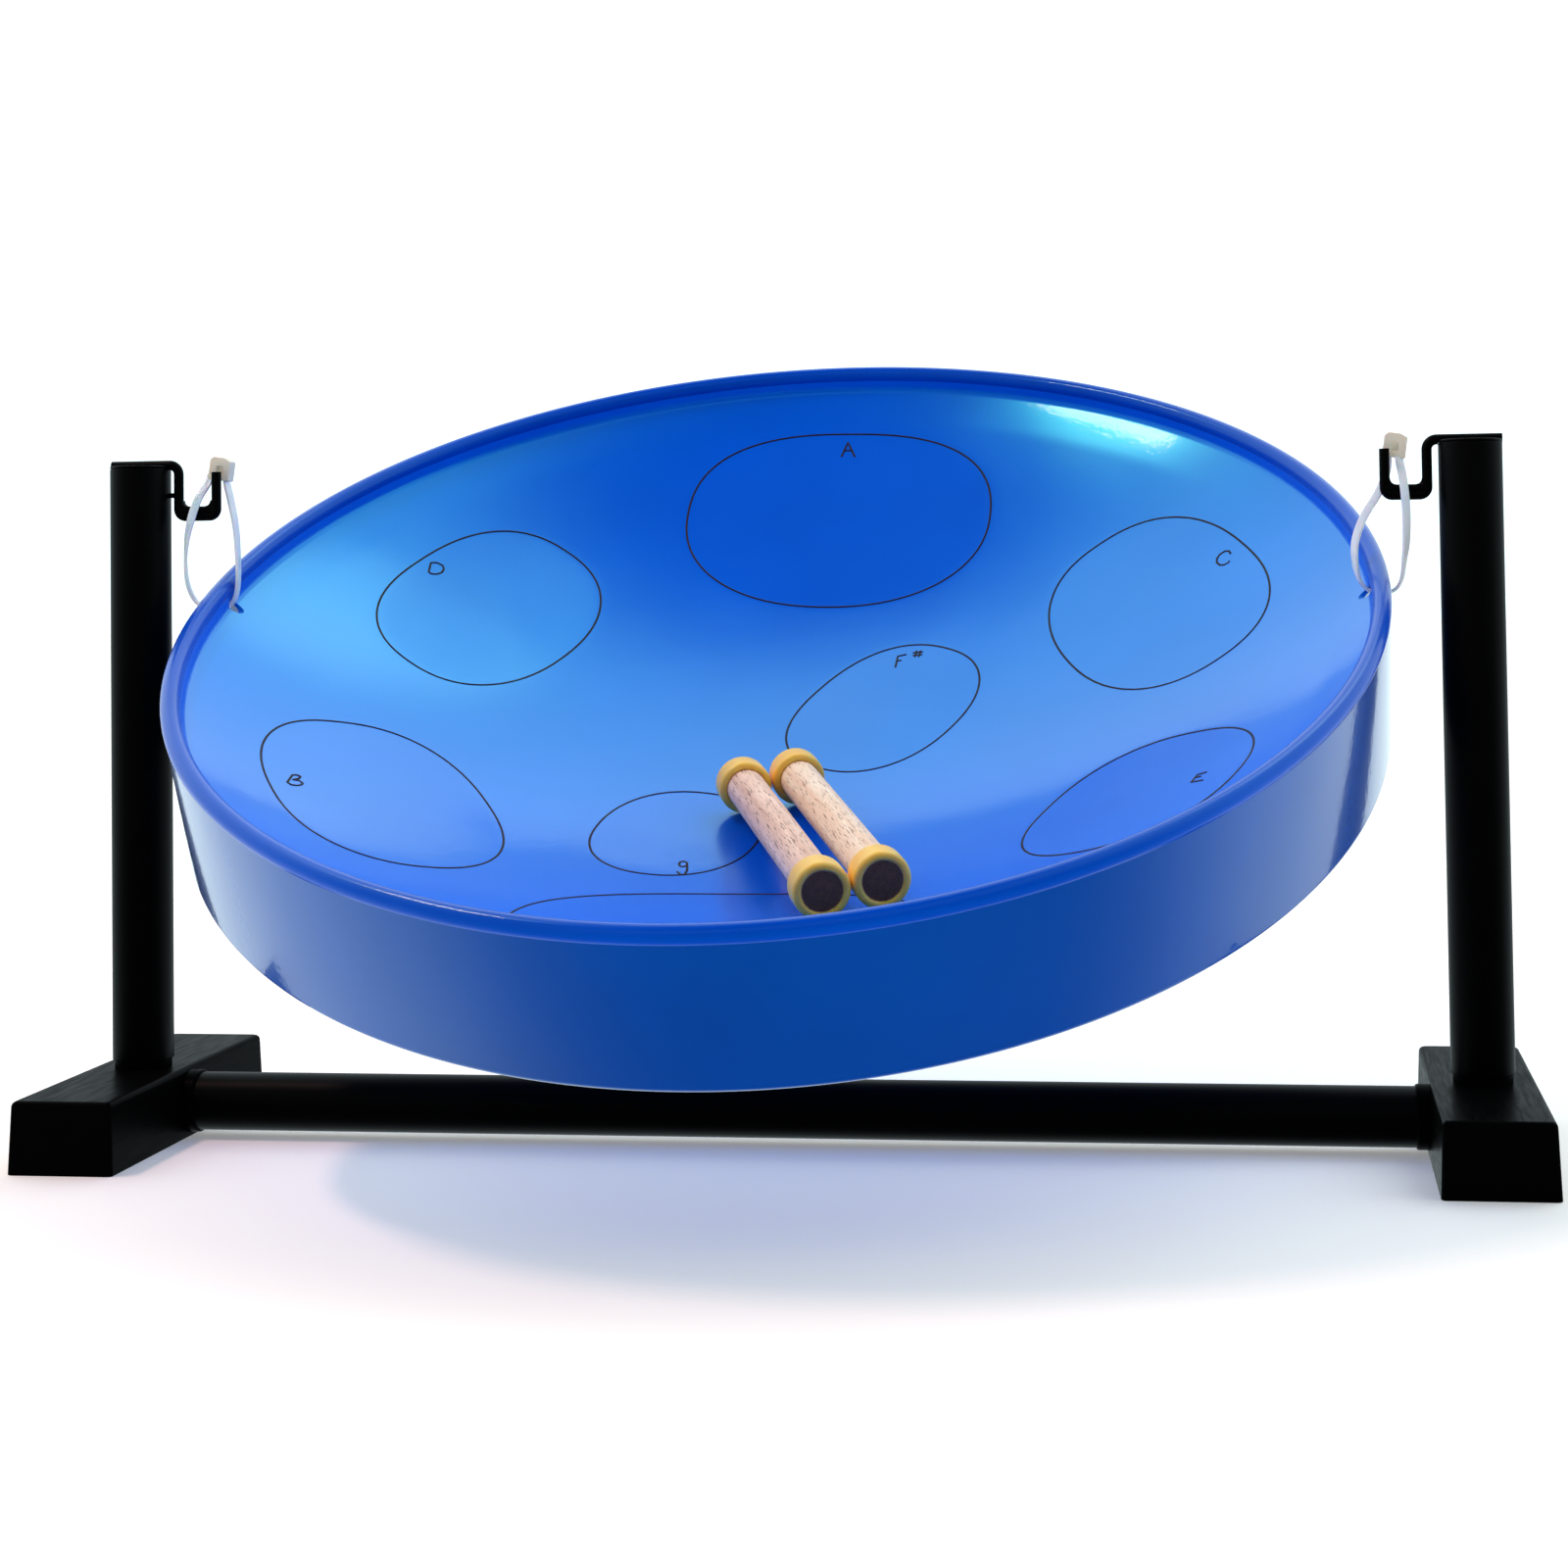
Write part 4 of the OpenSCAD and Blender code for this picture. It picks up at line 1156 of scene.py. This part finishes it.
def strap_frames(path, side_sign, posts_y):
    """Place, direction, width way and thickness way at every point of the strap."""
    places = path[:, :3].copy()
    rows = []
    for i, place in enumerate(places):
        ahead = places[min(len(places) - 1, i + 1)] - places[max(0, i - 1)]
        ahead /= np.linalg.norm(ahead)
        flat = np.cross(ahead, (0, 1, 0))
        flat /= np.linalg.norm(flat)
        y_way = np.cross(flat, ahead)
        a = math.radians(path[i, 3])
        wide = math.cos(a) * y_way + math.sin(a) * flat
        rows.append([place, ahead, wide, np.cross(ahead, wide)])
    rows = np.array(rows)
    rows[:, :, 0] *= side_sign
    rows[:, 0, 1] += posts_y
    return rows


section = rounded_loop(STRAP_W / 2, STRAP_T / 2, STRAP_ROUND, 0, 3)
posts_y = node_box("left_post")[2][1]
strap_rows = {}
for side, sign in SIDES:
    rows = strap_frames(smooth_path(STRAP_PATHS[side]), sign, posts_y)
    strap_rows[side] = rows
    points = [tuple(place + wide * u + thin * v) for place, ahead, wide, thin in rows
              for u, v, level in section]
    n = len(section)
    faces = [(i * n + k, i * n + (k + 1) % n, (i + 1) * n + (k + 1) % n, (i + 1) * n + k)
             for i in range(len(rows) - 1) for k in range(n)]
    faces += [tuple(range(n)), tuple(range(len(points) - n, len(points)))]
    strap = bpy.data.meshes.new("strap")
    strap.from_pydata(points, [], faces)
    strap.transform(Matrix.Scale(MM, 4))
    keep(f"{side}_nylon_strap", close_up(strap, sharp=60), [nylon_strap], f"{side}_tie",
         [f"{side}_tie_strap"])
print("strap path points:", len(rows))

# %% [markdown]
# ## Ratchet teeth
# One face of a cable tie carries a row of tiny slanted teeth, which the pawl in the head grips.
# They are the same tooth repeated every millimetre, so a Geometry Nodes tree sets an instance on
# each point of a path, turned to follow the strap. Modelling each by hand would take a hundred
# copies, and a bump alone would vanish on the strap's thin edge.

# %% Tooth tree
tooth_tree, given = start_tree("teeth_on_points", ("Points", "Geometry"),
                               ("Tooth length", "Float"), ("Tooth width", "Float"),
                               ("Tooth height", "Float"), ("Finish", "Material"))
size = add(tooth_tree, "ShaderNodeCombineXYZ", {"X": given.outputs["Tooth width"],
           "Y": given.outputs["Tooth length"], "Z": given.outputs["Tooth height"]})
tooth = add(tooth_tree, "GeometryNodeMeshCone", {"Vertices": 4, "Radius Top": 0.45,
            "Radius Bottom": 0.7, "Depth": 1.0})
squared = add(tooth_tree, "GeometryNodeTransform", {"Geometry": tooth.outputs["Mesh"],
              "Rotation": (0, 0, math.pi / 4)})
along_way = add(tooth_tree, "GeometryNodeInputNamedAttribute", {"Name": "along"},
                data_type="FLOAT_VECTOR")
out_way = add(tooth_tree, "GeometryNodeInputNamedAttribute", {"Name": "outwards"},
              data_type="FLOAT_VECTOR")
up_turn = add(tooth_tree, "FunctionNodeAlignRotationToVector",
              {"Vector": out_way.outputs["Attribute"]}, axis="Z")
full_turn = add(tooth_tree, "FunctionNodeAlignRotationToVector",
                {"Rotation": up_turn.outputs["Rotation"],
                 "Vector": along_way.outputs["Attribute"]}, axis="Y", pivot_axis="Z")
teeth = add(tooth_tree, "GeometryNodeInstanceOnPoints", {"Points": given.outputs["Points"],
            "Instance": squared.outputs["Geometry"], "Rotation": full_turn.outputs["Rotation"],
            "Scale": size.outputs["Vector"]})
end_tree(tooth_tree, given, teeth.outputs["Instances"])

# %% Set the teeth
TOOTH_PITCH = 1.0                                     # mm
TOOTH_LONG, TOOTH_WIDE, TOOTH_TALL = 0.55, 1.5, 0.22  # mm
BARE_START, BARE_TAIL = 3.0, 30.0                     # mm of strap without teeth
TOOTH_SINK = 0.02                                     # mm
for side, sign in SIDES:
    rows = strap_rows[side]
    steps = np.linalg.norm(np.diff(rows[:, 0], axis=0), axis=1)
    run = np.concatenate([[0], np.cumsum(steps)])
    wanted = np.arange(BARE_START, run[-1] - BARE_TAIL, TOOTH_PITCH)
    pick = np.array([[np.interp(wanted, run, rows[:, j, c]) for c in range(3)] for j in range(4)])
    place, ahead, wide, thin = (pick[j].T for j in range(4))
    outwards = thin * -sign
    seat = place + outwards * (STRAP_T / 2 - TOOTH_SINK)
    dots = bpy.data.meshes.new("tooth_points")
    dots.from_pydata([tuple(p * MM) for p in seat], [], [])
    for name, value in (("along", ahead), ("outwards", outwards)):
        dots.attributes.new(name, "FLOAT_VECTOR", "POINT").data.foreach_set(
            "vector", value.astype(np.float32).ravel())
    teeth_mesh = grow(tooth_tree, dots, tooth_length=TOOTH_LONG * MM,
                      tooth_width=TOOTH_WIDE * MM, tooth_height=TOOTH_TALL * MM,
                      finish=nylon_strap)
    keep(f"{side}_strap_teeth", teeth_mesh, [nylon_strap], f"{side}_tie")
    print(side, "teeth:", len(wanted))

# %% [markdown]
# ## Mallets
# Each mallet is a short dowel with a ring of latex tube pushed over both ends. Its axis is the
# long axis of its CAD mesh, which a singular value decomposition finds without any measuring.
# The dowel is spun with a small round on its cut ends, and the tubes with soft rounded lips.

# %% Find the axes and turn the sticks
def long_axis(node):
    """Front end, direction and length of a turned CAD node, in mm."""
    points = node_points(node)
    middle = points.mean(0)
    way = np.linalg.svd(points - middle)[2][0]
    way *= np.sign(way[1])
    reach = (points - middle) @ way
    spread = np.linalg.norm(points - middle - np.outer(reach, way), axis=1).max()
    middle = middle + way * (reach.max() + reach.min()) / 2
    return middle - way * (reach.max() - reach.min()) / 2, way, reach.max() - reach.min(), spread


def stick_matrix(start, way):
    """Places a turned part with its z axis along a direction."""
    return moved_to(start) @ Vector(way).to_track_quat("Z", "Y").to_matrix().to_4x4()


END_ROUND = 0.5   # mm, round of the cut ends
for number, wood in ((1, brown_wood), (2, golden_wood)):
    start, way, length, radius = long_axis(f"mallet_{number}_stick")
    flat_r = radius - END_ROUND
    outline = [(0, 0)] + bend((flat_r, END_ROUND), END_ROUND, -90, 0, 3)
    outline += [(radius, length * i / 8) for i in range(1, 8)]
    outline += bend((flat_r, length - END_ROUND), END_ROUND, 0, 90, 3) + [(0, length)]
    stick = turned(outline, stick_matrix(start, way), 64, False)
    piece = keep(f"mallet_{number}_dowel", stick, [wood, end_grain], f"mallet_{number}",
                 [f"mallet_{number}_stick"])
    ends = 0
    for face in stick.polygons:
        if abs(face.normal @ Vector(way)) > 0.8:
            face.material_index = 1
            ends += 1
    print("mallet", number, "is", round(length, 1), "mm long with", ends, "end faces")

# %% Slip on the rubber tips
TUBE_BORE = 6.38     # mm, inside radius of the stretched tube
OUTER_ROUND = 1.7    # mm, round of its outer edges
LIP_ROUND = 0.7      # mm, round of its lips against the dowel
for number in (1, 2):
    stick_start, way = long_axis(f"mallet_{number}_stick")[:2]
    for place_name in ("front", "rear"):
        node = f"mallet_{number}_{place_name}_tip"
        off_start = node_points(node) - stick_start
        reach = off_start @ way
        outer = np.linalg.norm(off_start - np.outer(reach, way), axis=1).max()
        start, length = stick_start + way * reach.min(), reach.max() - reach.min()
        lip_r, edge_r = TUBE_BORE + LIP_ROUND, outer - OUTER_ROUND
        outline = bend((lip_r, LIP_ROUND), LIP_ROUND, 180, 270, 3) \
            + bend((edge_r, OUTER_ROUND), OUTER_ROUND, -90, 0, 7) \
            + bend((edge_r, length - OUTER_ROUND), OUTER_ROUND, 0, 90, 7) \
            + bend((lip_r, length - LIP_ROUND), LIP_ROUND, 90, 180, 3)
        keep(f"mallet_{number}_{place_name}_sleeve", turned(outline, stick_matrix(start, way), 72),
             [latex], f"mallet_{number}", [node])
print("sleeve", round(length, 2), "mm long,", round(2 * outer, 2), "mm across")

# %% [markdown]
# ## Screws and inserts
# A screw comes up through each foot into a brass insert in its post. They are hidden at rest but
# show from below and in an exploded view, so their CAD shapes stay and only get their metals.

# %% Finish the hidden metals
for side, sign in SIDES:
    for node, finish in ((f"{side}_foot_screw", zinc_plate), (f"{side}_post_insert", brass)):
        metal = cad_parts[node]
        metal.data.materials.clear()
        metal.data.materials.append(finish)
